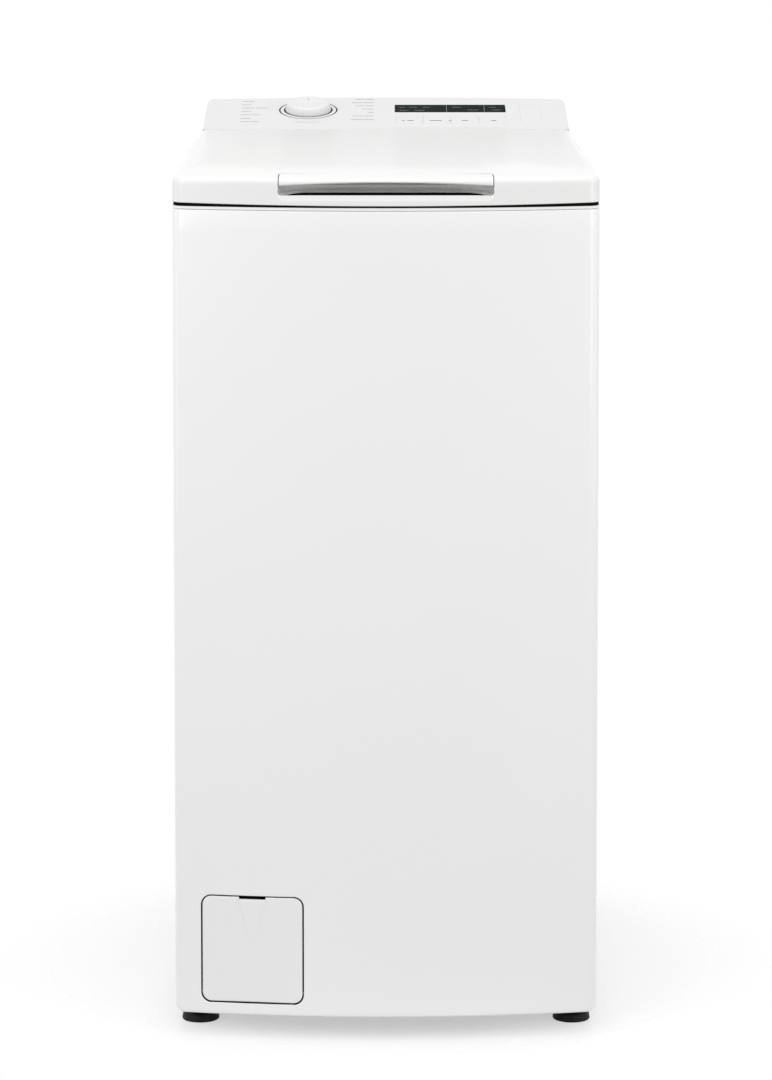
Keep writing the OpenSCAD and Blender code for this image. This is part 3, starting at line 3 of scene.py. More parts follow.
import bmesh
import bpy
import mathutils
import numpy as np
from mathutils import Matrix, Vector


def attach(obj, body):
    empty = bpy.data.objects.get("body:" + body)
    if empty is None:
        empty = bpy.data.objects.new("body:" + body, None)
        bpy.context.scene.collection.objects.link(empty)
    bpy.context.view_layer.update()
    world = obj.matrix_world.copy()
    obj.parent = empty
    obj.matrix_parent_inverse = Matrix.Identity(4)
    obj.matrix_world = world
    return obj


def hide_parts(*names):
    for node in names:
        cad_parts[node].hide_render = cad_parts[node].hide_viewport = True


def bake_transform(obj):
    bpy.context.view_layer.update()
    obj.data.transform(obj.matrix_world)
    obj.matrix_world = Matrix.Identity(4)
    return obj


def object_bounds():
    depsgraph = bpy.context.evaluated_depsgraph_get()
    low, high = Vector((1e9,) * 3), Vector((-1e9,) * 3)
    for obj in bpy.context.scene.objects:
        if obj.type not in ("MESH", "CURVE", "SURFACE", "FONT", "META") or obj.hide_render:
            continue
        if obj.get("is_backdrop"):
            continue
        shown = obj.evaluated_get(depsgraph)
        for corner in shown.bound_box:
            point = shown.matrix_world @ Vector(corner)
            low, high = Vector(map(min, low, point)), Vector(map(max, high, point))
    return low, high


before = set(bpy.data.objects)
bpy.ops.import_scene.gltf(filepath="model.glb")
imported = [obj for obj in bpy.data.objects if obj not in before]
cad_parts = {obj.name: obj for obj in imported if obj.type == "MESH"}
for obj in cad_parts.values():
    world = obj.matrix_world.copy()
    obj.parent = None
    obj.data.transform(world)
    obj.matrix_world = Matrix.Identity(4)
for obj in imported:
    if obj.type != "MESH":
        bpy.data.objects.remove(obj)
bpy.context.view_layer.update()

# ---- Base pan and feet ----
# The whole machine stands on one moulded pan of grey filled polypropylene, matt, with a fine grain. Two
# fixed black feet carry its rear, and two black threaded feet turn into its front corners.


def feed(node, inputs):
    """Sets the inputs of a node to values, or links them to the outputs of other nodes."""
    for socket, value in inputs.items():
        if isinstance(value, bpy.types.NodeSocket):
            node.id_data.links.new(value, node.inputs[socket])
        else:
            node.inputs[socket].default_value = value


def add(tree, kind, inputs, output=0):
    """Adds a node with its inputs fed, and gives back one of its outputs."""
    node = tree.nodes.new("ShaderNode" + kind)
    feed(node, inputs)
    return node.outputs[output]


def noise(place, scale, detail=2.0, roughness=0.5, stretch=(1, 1, 1)):
    """A noise over the object's coordinates, scale in waves per metre, stretched along the axes."""
    vector = add(place.id_data, "Mapping", {"Vector": place, "Scale": stretch})
    inputs = {"Vector": vector, "Scale": scale, "Detail": detail, "Roughness": roughness}
    return add(place.id_data, "TexNoise", inputs, "Fac")


def spread(value, low, high, start=0.3, end=0.7):
    """Maps a value between start and end to low and high."""
    inputs = {"Value": value, "From Min": start, "From Max": end, "To Min": low, "To Max": high}
    return add(value.id_data, "MapRange", inputs, "Result")


def tint(value, low, high):
    """A colour that goes from low to high with a value."""
    colour = add(value.id_data, "ValToRGB", {"Fac": value}, "Color")
    for stop, position, rgb in zip(colour.node.color_ramp.elements, (0.3, 0.7), (low, high)):
        stop.position, stop.color = position, (*rgb, 1)
    return colour


def raised(value, distance, strength=1.0):
    """The normal of a surface that a value raises by up to distance."""
    inputs = {"Height": value, "Distance": distance, "Strength": strength}
    return add(value.id_data, "Bump", inputs, "Normal")


def new_material(name):
    """An empty material with its shader and the object's own coordinates."""
    material = bpy.data.materials.new(name)
    material.use_nodes = True
    tree = material.node_tree
    return material, tree.nodes["Principled BSDF"], add(tree, "TexCoord", {}, "Object")


def surface(name, colours, fleck, roughness, gloss, height, grain, fixed):
    """A material with a fleck between two colours, a roughness between two values and a grain of a height.
    Fleck, gloss and grain are noises: scale, detail, roughness, stretch. Fixed sockets keep one value."""
    material, shader, place = new_material(name)
    feed(shader, {
        "Base Color": tint(noise(place, *fleck), *colours),
        "Roughness": spread(noise(place, *gloss), *roughness),
        "Normal": raised(noise(place, *grain), height),
        **fixed,
    })
    return material


def matt(name, low, high, rough, grain, height, scale=1400, fixed={}):
    """A matt moulded or cast surface: a fleck between two colours and a fine raised grain."""
    roughness = (rough - 0.05, rough + 0.07)
    return surface(name, (low, high), (grain, 4, 0.6), roughness, (grain * 2, 3), height, (scale, 2), fixed)


def finish(material, slot, *nodes):
    """Gives parts that keep their shape a material. The slot is not used."""
    for name in nodes:
        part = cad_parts[name]
        part.data.materials.clear()
        part.data.materials.append(material)


base_grey = matt("grey_filled_plastic", (0.30, 0.305, 0.31), (0.34, 0.345, 0.35), 0.5, 240, 0.00003)
finish(base_grey, "base_plastic", "base_pan")
dull = {"Specular IOR Level": 0.15}
black_moulded = matt("black_moulded_plastic", (0.004,) * 3, (0.008,) * 3, 0.5, 300, 0.00002, fixed=dull)
finish(black_moulded, "black_plastic", "rear_feet", "left_front_foot", "right_front_foot")

# ---- Pump, filter and hoses ----
# The drain pump and its lint filter housing are moulded in grey glass filled polypropylene, screwed to the
# pan at its front left. The filter is a white insert with a grip. The hose from the tub is ribbed rubber.
milky = {"Subsurface Weight": 0.04, "Subsurface Radius": (0.003,) * 3}
tub_grey = matt(
    "glass_filled_plastic", (0.50, 0.51, 0.51), (0.58, 0.59, 0.59), 0.44, 520, 0.00004, fixed=milky
)
finish(tub_grey, "tub_plastic", "drain_pump", "drain_pipe")
satin_white = matt(
    "white_moulded_plastic", (0.74, 0.742, 0.74), (0.79, 0.79, 0.787), 0.34, 26, 0.000012, 1800
)
finish(satin_white, "white_plastic", "drain_filter")
dull = {"Specular IOR Level": 0.3}
rubber = matt("black_rubber", (0.015,) * 3, (0.026, 0.026, 0.025), 0.7, 180, 0.00004, 900, dull)
weld = 0.000002


def make_piece(name, points, faces, sharp=30):
    """A mesh object from an array of points and a list of face arrays, welded, facing outwards, and smooth
    except where faces meet at more than sharp degrees."""
    mesh = bpy.data.meshes.new(name)
    listed = [face for group in faces for face in np.asarray(group).tolist()]
    mesh.from_pydata(np.asarray(points).reshape(-1, 3).tolist(), [], listed)
    work = bmesh.new()
    work.from_mesh(mesh)
    bmesh.ops.remove_doubles(work, verts=work.verts, dist=weld)
    bmesh.ops.recalc_face_normals(work, faces=work.faces)
    work.to_mesh(mesh)
    work.free()
    mesh.shade_smooth()
    mesh.set_sharp_from_angle(angle=math.radians(sharp))
    piece = bpy.data.objects.new(name, mesh)
    bpy.context.scene.collection.objects.link(piece)
    return piece


def stretching(node, material):
    """A merged, smooth copy of a part between the cabinet and the tub, with a material, in place of the part.
    """
    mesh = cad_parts[node].data
    points = np.array([vertex.co for vertex in mesh.vertices])
    piece = make_piece(node + "_flexible", points, [[tuple(face.vertices) for face in mesh.polygons]], 40)
    piece.data.materials.append(material)
    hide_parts(node)
    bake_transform(piece)


stretching("sump_hose", rubber)

# ---- Tub ----
# The tub is two welded mouldings of the same grey plastic, a shell and a flat cover. A block of cast
# concrete is bolted in front of it against vibration, and a bent steel heating rod lies in its sump.
finish(tub_grey, "tub_plastic", "tub_shell", "tub_cover")
concrete, shader, place = new_material("cast_concrete")
stones = add(place.id_data, "TexVoronoi", {"Vector": place, "Scale": 140}, "Distance")
feed(shader, {
    "Base Color": tint(noise(place, 55, 6, 0.65), (0.25, 0.245, 0.235), (0.36, 0.35, 0.335)),
    "Roughness": spread(noise(place, 300, 4), 0.8, 0.95),
    "Normal": raised(spread(stones, 0, 1, 0.0, 0.5), 0.0004, 0.6),
})
finish(concrete, "concrete", "counterweight")


def metal(name, low, high, rough, stretch, scale=300, height=0.000006, grain=None):
    """Bare metal with fine marks of its making, drawn out along the axes by stretch."""
    marks, roughness = (scale, 4, 0.65, stretch), (rough - 0.06, rough + 0.08)
    bare = {"Metallic": 0.95}
    return surface(name, (low, high), marks, roughness, marks, height, grain or marks, bare)


turned_steel = metal("turned_steel", (0.48, 0.48, 0.485), (0.60, 0.60, 0.605), 0.3, (20, 1, 1))
finish(turned_steel, "plain_steel", "heating_element", "bearing_outer_rings")

# ---- Drum ----
# The drum is rolled from stainless steel sheet between two pressed ends, with fine marks of rolling. Its
# sheet is perforated all over in staggered rows. Moulded paddles lift the washing, and steel shafts in ball
# bearings carry the drum at both ends.
drum_y, drum_z, drum_radius = -0.010, 0.440, 0.235
hole_pitch, hole_radius = 0.0150, 0.0019


def maths(operation, first, second=0.0):
    """One math node of two values or outputs."""
    result = add(first.id_data, "Math", {0: first, 1: second})
    result.node.operation = operation
    return result


def see_through(share):
    """Makes the material of a value transparent by it."""
    tree = share.id_data
    shader, clear = tree.nodes["Principled BSDF"].outputs[0], add(tree, "BsdfTransparent", {})
    both = add(tree, "MixShader", {"Fac": share, 1: shader, 2: clear})
    tree.links.new(both, tree.nodes["Material Output"].inputs["Surface"])


steel = metal("rolled_stainless_steel", (0.58, 0.575, 0.57), (0.70, 0.70, 0.695), 0.24, (26, 1, 1), 160)
tree = steel.node_tree
parts = add(tree, "SeparateXYZ", {0: add(tree, "TexCoord", {}, "Object")}).node.outputs
up, forward = maths("SUBTRACT", parts["Z"], drum_z), maths("SUBTRACT", parts["Y"], drum_y)
around = round(2 * math.pi * drum_radius / hole_pitch) / (2 * math.pi)
around = maths("MULTIPLY", maths("ARCTAN2", up, forward), around)
row = maths("ADD", maths("DIVIDE", parts["X"], hole_pitch), 100.5)
odd = maths("MULTIPLY", maths("MODULO", maths("FLOOR", row), 2.0), 0.5)
across = maths("SUBTRACT", maths("FRACT", row), 0.5)
staggered = maths("ADD", maths("ADD", around, 200.0), odd)
along = maths("SUBTRACT", maths("FRACT", staggered), 0.5)
squares = maths("ADD", maths("POWER", across, 2.0), maths("POWER", along, 2.0))
see_through(maths("LESS_THAN", maths("SQRT", squares), hole_radius / hole_pitch))
finish(steel, "stainless_steel", "drum_shell", "front_drum_flap", "rear_drum_flap")
pressed_steel = metal(
    "pressed_stainless_steel", (0.58, 0.575, 0.57), (0.68, 0.68, 0.675), 0.27, (1, 6, 6), 90
)
finish(pressed_steel, "stainless_steel", "drum_ends", "flap_hinge_pins")
paddle_grey = matt("paddle_plastic", (0.62, 0.63, 0.64), (0.68, 0.69, 0.70), 0.38, 30, 0.000015)
finish(paddle_grey, "paddle_plastic", "drum_paddles")
finish(black_moulded, "black_plastic", "flap_button")
finish(turned_steel, "plain_steel", "drum_shafts", "bearing_inner_rings")

# ---- Drive ----
# A motor with a steel case hangs under the tub. Its small ribbed steel pulley turns the cast aluminium
# pulley of the drum through a flat ribbed rubber belt.
pale, bright = (0.50, 0.505, 0.51), (0.60, 0.605, 0.61)
alloy = metal("cast_aluminium", pale, bright, 0.42, (1, 1, 1), 420, 0.00005, (900, 3))
finish(alloy, "pulley_alloy", "drum_pulley")
finish(turned_steel, "plain_steel", "drive_motor", "motor_pulley")
finish(rubber, "rubber", "drive_belt")

# ---- Springs and dampers ----
# The tub hangs from coil springs of drawn steel wire, and two friction dampers with black cylinders and
# steel rods stand between it and the pan.
drawn_steel = metal("drawn_steel", (0.34, 0.34, 0.345), (0.46, 0.46, 0.465), 0.34, (1, 1, 8), 500)
finish(drawn_steel, "plain_steel", "damper_rods")
stretching("suspension_springs", drawn_steel)
finish(black_moulded, "black_plastic", "damper_cylinders")

# ---- Front panel ----
# The front of the cabinet is one sheet of 1 mm steel, bowed forwards and rolled back round both upright
# edges. It is pressed, folded in at the top and bottom and enamelled white. Its lower left has the opening
# for the filter door, with a rolled edge.
half_width, front_y, seam_y, panel_back = 0.200, -0.300, -0.264, 0.300
bow_radius, corner_radius, skirt_radius = 1.010, 0.012, 0.008
foot_height, rim_front_z, rim_depth, slope = 0.0215, 0.7832, 0.0024, math.radians(6.1)
door_centre = np.array([-0.1261, 0.08425])
door_size, door_corner, door_gap, door_margin = np.array([0.0948, 0.1005]), 0.0085, 0.001, 0.006
hole_columns, hole_rows, left_columns, corner_points, seam_points = 45, 47, 3, 13, 4
panel_roll, hole_roll, hole_return, fold_in = 0.0022, 0.0009, 0.0008, 0.012


def bow(x):
    """The bowed front: y on a circle arc of bow_radius that touches front_y in the middle."""
    return front_y + bow_radius - np.sqrt(bow_radius**2 - np.asarray(x) ** 2)


def rim(y):
    """Height of the sloped rim of the cabinet at y: it rises by the slope from its front."""
    return rim_front_z + (np.asarray(y) - front_y) * math.tan(slope)


def grid_faces(rows, columns, wrap=False):
    """Quads of a grid of points, as rows of four indices; with wrap the last column joins the first."""
    j = np.arange(columns if wrap else columns - 1)
    i = np.arange(rows - 1)[:, None]
    a, b = i * columns + j, i * columns + (j + 1) % columns
    return np.stack([a, b, b + columns, a + columns], axis=-1).reshape(-1, 4)


def front_path(columns):
    """Plan of the front from the left seam round to the right seam: straight, corner arc, bow, corner arc,
    straight. Returns the points and their outward directions."""
    cx = half_width - corner_radius
    cy = front_y + bow_radius - math.sqrt((bow_radius - corner_radius) ** 2 - cx**2)
    lean = math.asin(cx / (bow_radius - corner_radius))
    turn = np.pi + np.linspace(0, 1, corner_points) * (np.pi / 2 - lean)
    arc_out = np.stack([np.cos(turn), np.sin(turn)], 1)
    straight = np.linspace((-half_width, seam_y), (-half_width, cy - 0.0001), seam_points + 1)[:-1]
    left = np.concatenate([straight, [-cx, cy] + corner_radius * arc_out])
    left_out = np.concatenate([np.full(straight.shape, (-1, 0)), arc_out])
    middle = np.stack([columns, bow(columns)], 1)
    middle_out = (middle - [0, front_y + bow_radius]) / bow_radius
    points = np.concatenate([left, middle, left[::-1] * [-1, 1]])
    return points, np.concatenate([left_out, middle_out, left_out[::-1] * [-1, 1]])


def snapped_outline(points, grow):
    """Each point of a loop round the door is scaled on to its outline, grown by grow, and then pulled on to
    the arc of its corner."""
    half, r = door_size / 2 + grow, door_corner + grow
    near = (points - door_centre) / np.abs(points - door_centre).max(0) * half
    over = np.abs(near) - (half - r)
    in_corner = (over > 0).all(1)
    length = np.linalg.norm(np.maximum(over, 1e-9), axis=1, keepdims=True)
    arc = np.sign(near) * (half - r + over / length * r)
    return door_centre + np.where(in_corner[:, None], arc, near)


def rounding(radius, turn):
    """How far a round edge lies in from both its faces, at a turn in degrees from the first to the second."""
    return radius * (1 - np.sin(np.radians(turn))), radius * (1 - np.cos(np.radians(turn)))


def rolled_edge(roll, depth):
    """An edge that is rolled back: how far its lines lie behind the sheet, and how far in from the edge."""
    behind, along = rounding(roll, np.linspace(0, 90, 6))
    return np.append(depth, behind), np.append(0, along)


def thicken(piece, out, thickness=0.0009):
    """Turns a skin's faces towards out and gives it the thickness of its sheet, inwards."""
    largest = max(piece.data.polygons, key=lambda face: face.area)
    if largest.normal.dot(out) < 0:
        piece.data.flip_normals()
    sheet = piece.modifiers.new("sheet", "SOLIDIFY")
    sheet.thickness, sheet.offset = thickness, -1
    return sheet


edge_x = bow_radius * (half_width - corner_radius) / (bow_radius - corner_radius)
hole_low = door_centre - door_size / 2 - door_margin
hole_high = door_centre + door_size / 2 + door_margin
path, path_out = front_path(np.concatenate([
    np.linspace(-edge_x, hole_low[0], left_columns + 2)[1:-1],
    np.linspace(hole_low[0], hole_high[0], hole_columns),
    np.linspace(hole_high[0], edge_x, 44)[1:-1],
]))
side_rise = np.clip(np.abs(path[:, 0]) - (half_width - skirt_radius), 0, skirt_radius)
lower = foot_height + skirt_radius - np.sqrt(skirt_radius**2 - side_rise**2)
upper = rim(path[:, 1]) - rim_depth
heights = np.concatenate([
    [foot_height + panel_roll],
    np.linspace(hole_low[1], hole_high[1], hole_rows),
    np.linspace(hole_high[1], rim_front_z - rim_depth - panel_roll, 34)[1:],
])
share = (heights - heights[0]) / (heights[-1] - heights[0])
edge_in, edge_off = rolled_edge(panel_roll, fold_in)
inset = np.concatenate([edge_in, np.zeros(len(share) - 2), edge_in[::-1]])
rise = lower + panel_roll + (upper - lower - 2 * panel_roll) * share[:, None]
rows_z = np.concatenate([lower + edge_off[:, None], rise[1:-1], upper - edge_off[::-1][:, None]])
sheet = np.concatenate([path - path_out * inset[:, None, None], rows_z[..., None]], axis=-1)
rows, count = sheet.shape[:2]
points = sheet.reshape(-1, 3)
first_row, first_column = len(edge_in), seam_points + corner_points + left_columns
index = np.arange(rows * count).reshape(rows, count)
box = index[first_row : first_row + hole_rows, first_column : first_column + hole_columns]
faces = grid_faces(rows, count)
faces = faces[~np.isin(faces[:, 0], box[:-1, :-1])]
loop = np.concatenate([box[0, :-1], box[:-1, -1], box[-1, :0:-1], box[:0:-1, 0]])
loop_xz = points[loop][:, [0, 2]]
outer = snapped_outline(loop_xz, door_gap + hole_roll)
rings = [(loop_xz + (outer - loop_xz) * step, 0) for step in (0.35, 0.7, 1.0)]
for grow, back in (rounding(hole_roll, turn) for turn in (30, 60, 90)):
    rings.append((snapped_outline(loop_xz, door_gap + grow), back))
rings.append((rings[-1][0], hole_roll + hole_return))
rings = [np.stack([xz[:, 0], bow(xz[:, 0]) + back, xz[:, 1]], 1) for xz, back in rings]
rings.insert(0, points[loop])
ring_faces = grid_faces(len(rings), len(loop), wrap=True) + len(points)
front_panel = make_piece("front_panel_sheet", np.concatenate([points, *rings]), [faces, ring_faces])
thicken(front_panel, (0, -1, 0))


def enamel(name, colour):
    """Baked enamel on steel: smooth, half gloss, with the fine waviness of a sprayed coat."""
    cooler = tuple(c * f for c, f in zip(colour, (0.988, 0.99, 0.992)))
    coat = {"Coat Weight": 0.35, "Coat Roughness": 0.12}
    return surface(name, (colour, cooler), (6,), (0.30, 0.36), (900, 3), 0.000012, (420, 1.5), coat)


def dress(piece, material, body, slot=None, *nodes):
    """Gives a piece its material and its body; when a slot is given, hides the nodes that it stands for."""
    piece.data.materials.append(material)
    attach(piece, body)
    if slot:
        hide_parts(*nodes)


white_enamel = enamel("white_enamel", (0.85, 0.85, 0.85))
dress(front_panel, white_enamel, "cabinet", "cabinet_enamel", "front_panel")

# The faces behind the rolled edge of the opening take black plastic as painted shade, so the joint round the
# door reads dark.
gap_shade_reach, gap_shade_behind = 0.003, 0.0002
middles = np.array([face.center for face in front_panel.data.polygons])
gap_shade_faces = (np.abs(middles[:, [0, 2]] - door_centre) < door_size / 2 + gap_shade_reach).all(1)
gap_shade_faces &= middles[:, 1] - bow(middles[:, 0]) > gap_shade_behind
front_panel.data.materials.append(black_moulded)
front_panel.data.polygons.foreach_set("material_index", gap_shade_faces.astype(np.int32))

# ---- Side panels ----
# Each side is a sheet of the same enamelled steel, folded at its edges. A shallow rounded field is pressed
# inwards so that the big flat wall doesn't drum. The seam to the front panel stays visible as a fine line.
bead_depth, bead_centre, bead_half = 0.003, (0.010, 0.390), (0.220, 0.280)
bead_corner, bead_blend, bead_top, side_fold = 0.030, 0.007, 0.70, 0.0018
step_reach, arc_reach, step_line, arc_line, wide_line, least_line = 0.006, 0.036, 0.001, 0.0035, 0.03, 0.0006


def side_surface(y, z):
    """How far the side lies inwards: a soft step of bead_blend width along a rounded rectangle, given by the
    distance to that rectangle."""
    dy = np.abs(y - bead_centre[0]) - bead_half[0] + bead_corner
    dz = np.abs(z - bead_centre[1]) - bead_half[1] + bead_corner
    distance = np.hypot(np.maximum(dy, 0), np.maximum(dz, 0)) + np.minimum(np.maximum(dy, dz), 0)
    t = np.clip(0.5 - (distance - bead_corner) / bead_blend, 0, 1)
    return bead_depth * t * t * (3 - 2 * t)


def close_to(low, high, centre, half):
    """Grid lines from low to high, with fine steps where the pressed step and its corner run."""
    lines = [np.arange(low, high, wide_line), [high]]
    for edge in (centre - half, centre + half):
        inward = 1 if edge < centre else -1
        lines.append(edge + np.arange(-step_reach, step_reach, step_line))
        lines.append(edge + inward * np.arange(step_reach, arc_reach, arc_line))
    lines = np.unique(np.round(np.concatenate(lines), 5))
    lines = lines[(lines >= low) & (lines <= high)]
    return lines[np.concatenate([[True], np.diff(lines) > least_line])]


ys = close_to(seam_y, panel_back, bead_centre[0], bead_half[0])
ys = ys[(ys > seam_y + side_fold) & (ys < panel_back - side_fold)]
zs = close_to(0.0, 0.8, bead_centre[1], bead_half[1])
zs = zs[zs > foot_height + 0.004]
edge_in, edge_off = rolled_edge(side_fold, 0.014)
bottom_in = rolled_edge(side_fold, 0.009)[0]
across_y = np.concatenate([seam_y + edge_off, ys, panel_back - edge_off[::-1]])
inset_y = np.concatenate([edge_in, np.zeros(len(ys)), edge_in[::-1]])
inset_z = np.concatenate([bottom_in, np.zeros(len(zs) - 2), edge_in[::-1]])
top = rim(across_y) - rim_depth
# Rows in the pressed field keep their height; the rows above it stretch up to the sloped rim.
above = bead_top + (zs[:, None] - bead_top) / (zs[-1] - bead_top) * (top - side_fold - bead_top)
level = np.where(zs[:, None] > bead_top, above, zs[:, None])
bottom = foot_height + edge_off[:, None] + 0 * top
level = np.concatenate([bottom, level[1:-1], top - edge_off[::-1][:, None]])
deep = np.maximum(inset_z[:, None], inset_y) + side_surface(across_y, level)
for side, side_name in ((1, "right"), (-1, "left")):
    field = np.stack([side * (half_width - deep), np.broadcast_to(across_y, level.shape), level], -1)
    panel = make_piece(f"{side_name}_side_sheet", field, [grid_faces(*level.shape)])
    thicken(panel, (side, 0, 0))
    dress(panel, white_enamel, "cabinet", "cabinet_enamel", f"{side_name}_side_panel")

# ---- Rear panel and fittings ----
# The back is one sheet of hot dip galvanised steel, with the broad crystals of its zinc coat. Pan head
# screws hold it. Four plastic caps close the holes of the transport bolts, and the mains lead, the inlet and
# the drain pass through it by their own fittings.
zinc, shader, place = new_material("galvanised_steel")
crystals = add(place.id_data, "TexVoronoi", {"Vector": place, "Scale": 130}, "Color")
shade = add(place.id_data, "RGBToBW", {0: crystals})
feed(shader, {
    "Base Color": tint(shade, (0.55, 0.56, 0.57), (0.59, 0.60, 0.605)),
    "Roughness": spread(shade, 0.38, 0.43),
    "Metallic": 0.85,
    "Normal": raised(noise(place, 800, 2), 0.00001),
})
finish(zinc, "zinc_steel", "rear_panel")
finish(drawn_steel, "plain_steel", "panel_screws")
finish(satin_white, "white_plastic", "transport_caps", "inlet_valve")
finish(black_moulded, "black_plastic", "cord_gland")
finish(tub_grey, "tub_plastic", "inlet_pipe")

# ---- Top frame and bellows ----
# A white moulded frame closes the top round the opening, under the lid, and a black rubber bellows joins it
# to the tub. The frame holds the lock for the lid's hook. The circuit board lies in the console behind it.
pale, bright = (0.80, 0.802, 0.80), (0.84, 0.84, 0.837)
frame_white = matt("frame_moulded_plastic", pale, bright, 0.34, 26, 0.000012, 1800)
finish(frame_white, "white_plastic", "top_frame")
stretching("bellows", rubber)
finish(black_moulded, "black_plastic", "door_lock")
board, shader, place = new_material("circuit_board")
tracks = add(place.id_data, "TexBrick", {"Vector": place, "Scale": 300}, "Fac")
feed(shader, {
    "Base Color": tint(tracks, (0.02, 0.11, 0.05), (0.05, 0.20, 0.09)),
    "Roughness": spread(noise(place, 400), 0.3, 0.42),
})
finish(board, "circuit_board", "control_board")

# ---- Filter door ----
# A small enamelled door at the lower left closes the niche of the drain filter. It follows the bow of the
# front, its edge is rolled back, and a coin opens it at the slot in its upper edge. It tips down on two pins.
door_thickness, door_edge, door_return, door_inside = 0.0025, 0.0009, 0.0018, 0.0011
slot_half, slot_depth, slot_corner = 0.0125, 0.0022, 0.0008
pin_radius, pin_half, pin_in, pin_up = 0.0015, 0.005, 0.004, 0.0088
pole, no_turn = 1e-7, 1e-6


def arc_points(centre, radius, start, end, count):
    """Points on a circle arc between two angles in degrees."""
    turn = np.radians(np.linspace(start, end, count))
    return np.asarray(centre) + radius * np.stack([np.cos(turn), np.sin(turn)], 1)


def lathe(profile, segments):
    """Points and faces of a profile of (radius, height) pairs turned round the Z axis."""
    profile = np.asarray(profile)
    turn = np.linspace(0, 2 * np.pi, segments, endpoint=False)
    ring = np.stack([np.cos(turn), np.sin(turn), np.ones(segments)], 1)
    points = profile[:, None, [0, 0, 1]] * ring[None]
    return points.reshape(-1, 3), [grid_faces(len(profile), segments, wrap=True)]


def joined(*parts):
    """Several (points, faces) pairs as one."""
    points, faces, start = [], [], 0
    for part_points, part_faces in parts:
        points.append(part_points)
        faces += [np.asarray(group) + start for group in part_faces]
        start += len(part_points)
    return np.concatenate(points), faces


def round_loop(place, size, radius, height, steps=6):
    """A level loop round a rectangle with round corners, at a height, with some steps in each corner."""
    half = np.array(size) / 2 - radius
    corners = ((1, 1), 0), ((-1, 1), 90), ((-1, -1), 180), ((1, -1), 270)
    turns = [arc_points(half * sign, radius, start, start + 90, steps) for sign, start in corners]
    loop = np.concatenate(turns) + place
    return np.column_stack([loop, np.full(len(loop), height)])


def rounded_box(low, high, radius=0.0006):
    """Points and faces of a box with small chamfers along its edges."""
    low, high = np.asarray(low, float), np.asarray(high, float)
    middle, size = (low + high)[:2] / 2, (high - low)[:2]
    walls = [round_loop(middle, size, radius, z, 2) for z in (low[2] + radius, high[2] - radius)]
    ends = [round_loop(middle, size - 2 * radius, 0, z, 2) for z in (low[2], high[2])]
    rings = [ends[0], *walls, ends[1]]
    fan = np.stack([np.arange(8), (np.arange(8) + 1) % 8, np.full(8, 32)], 1)
    faces = [grid_faces(4, 8, wrap=True), np.concatenate([fan, fan + [24, 24, 1]])]
    return np.concatenate([*rings, [[*middle, low[2]], [*middle, high[2]]]]), faces


def placed(points, axes, origin):
    """Points given in a local frame, moved into place; axes holds the frame's X, Y and Z as rows."""
    return np.asarray(points) @ np.asarray(axes, float) + origin


half_w, half_h = door_size / 2
corner_x, corner_z = half_w - door_corner, half_h - door_corner
slot_x, slot_end = slot_half - slot_corner, slot_half + slot_corner
right_half = np.concatenate([
    arc_points((corner_x, -corner_z), door_corner, -90, 0, 10),
    np.linspace((half_w, -corner_z), (half_w, corner_z), 8)[1:-1],
    arc_points((corner_x, corner_z), door_corner, 0, 90, 10),
    np.linspace((corner_x, half_h), (slot_end, half_h), 8)[1:-1],
    arc_points((slot_end, half_h - slot_corner), slot_corner, 90, 180, 5),
    arc_points((slot_x, half_h - slot_depth + slot_corner), slot_corner, 0, -90, 5),
    np.linspace((slot_x, half_h - slot_depth), (0, half_h - slot_depth), 5)[1:],
])
door_loop = np.concatenate([right_half, right_half[-2::-1] * [-1, 1]])
along = np.roll(door_loop, -1, 0) - np.roll(door_loop, 1, 0)
door_out = along[:, ::-1] * [1, -1] / np.linalg.norm(along, axis=1, keepdims=True)


def door_ring(inward, back, scale=1.0):
    """One ring of the door: its outline moved inwards, shrunk by scale, and set back from the bowed front."""
    xz = door_centre + (door_loop - door_out * inward) * scale
    return np.stack([xz[:, 0], bow(xz[:, 0]) + back, xz[:, 1]], 1)


rings = [door_ring(door_edge, 0, s) for s in (no_turn, 0.25, 0.5, 0.75, 0.95, 1.0)]
rings += [door_ring(*rounding(door_edge, turn)) for turn in (22, 45, 68, 90)]
rings += [door_ring(0, door_thickness), door_ring(door_return - 0.0003, door_thickness)]
rings += [door_ring(door_return, door_inside, s) for s in (1.0, 0.9, 0.5, no_turn)]
faces = grid_faces(len(rings), len(door_loop), wrap=True)
filter_skin = make_piece("filter_door_skin", np.concatenate(rings), [faces])
door_enamel = enamel("door_enamel", (0.82, 0.822, 0.82))
dress(filter_skin, door_enamel, "filter_hatch", "door_enamel", "filter_door")

left_end, right_end = door_centre[0] - half_w, door_centre[0] + half_w
chord = np.array([right_end - left_end, float(bow(right_end) - bow(left_end)), 0])
door_axes = np.array([chord / np.linalg.norm(chord), [0, 0, 0], [0, 0, 1.0]])
door_axes[1] = np.cross(door_axes[2], door_axes[0])
pin_y, pin_z = float(bow(left_end) + bow(right_end)) / 2, door_centre[1] - half_h + pin_up
pin_place = np.array([door_centre[0], pin_y, pin_z]) + door_axes[1] * pin_in
half_profile = [(pole, pin_half), (pin_radius - 0.0003, pin_half), (pin_radius, pin_half - 0.0003)]
pin_profile = [(r, -z) for r, z in half_profile] + half_profile[::-1]
parts = []
for side in (-1, 1):
    points, faces = lathe(pin_profile, 32)
    parts.append((points[:, [2, 0, 1]] + [side * (half_w + 0.0022), 0, 0], faces))
    x = side * (half_w - 0.004)
    parts.append(rounded_box((x - 0.002, -0.002, -0.002), (x + 0.002, 0.002, 0.012), 0.0004))
parts.append(rounded_box((-0.008, -0.0032, 0.0717), (0.008, 0.005, 0.0757)))
points, faces = joined(*parts)
pins = make_piece("filter_door_pins", placed(points, door_axes, pin_place), faces)
dress(pins, door_enamel, "filter_hatch", "door_enamel", "filter_door")

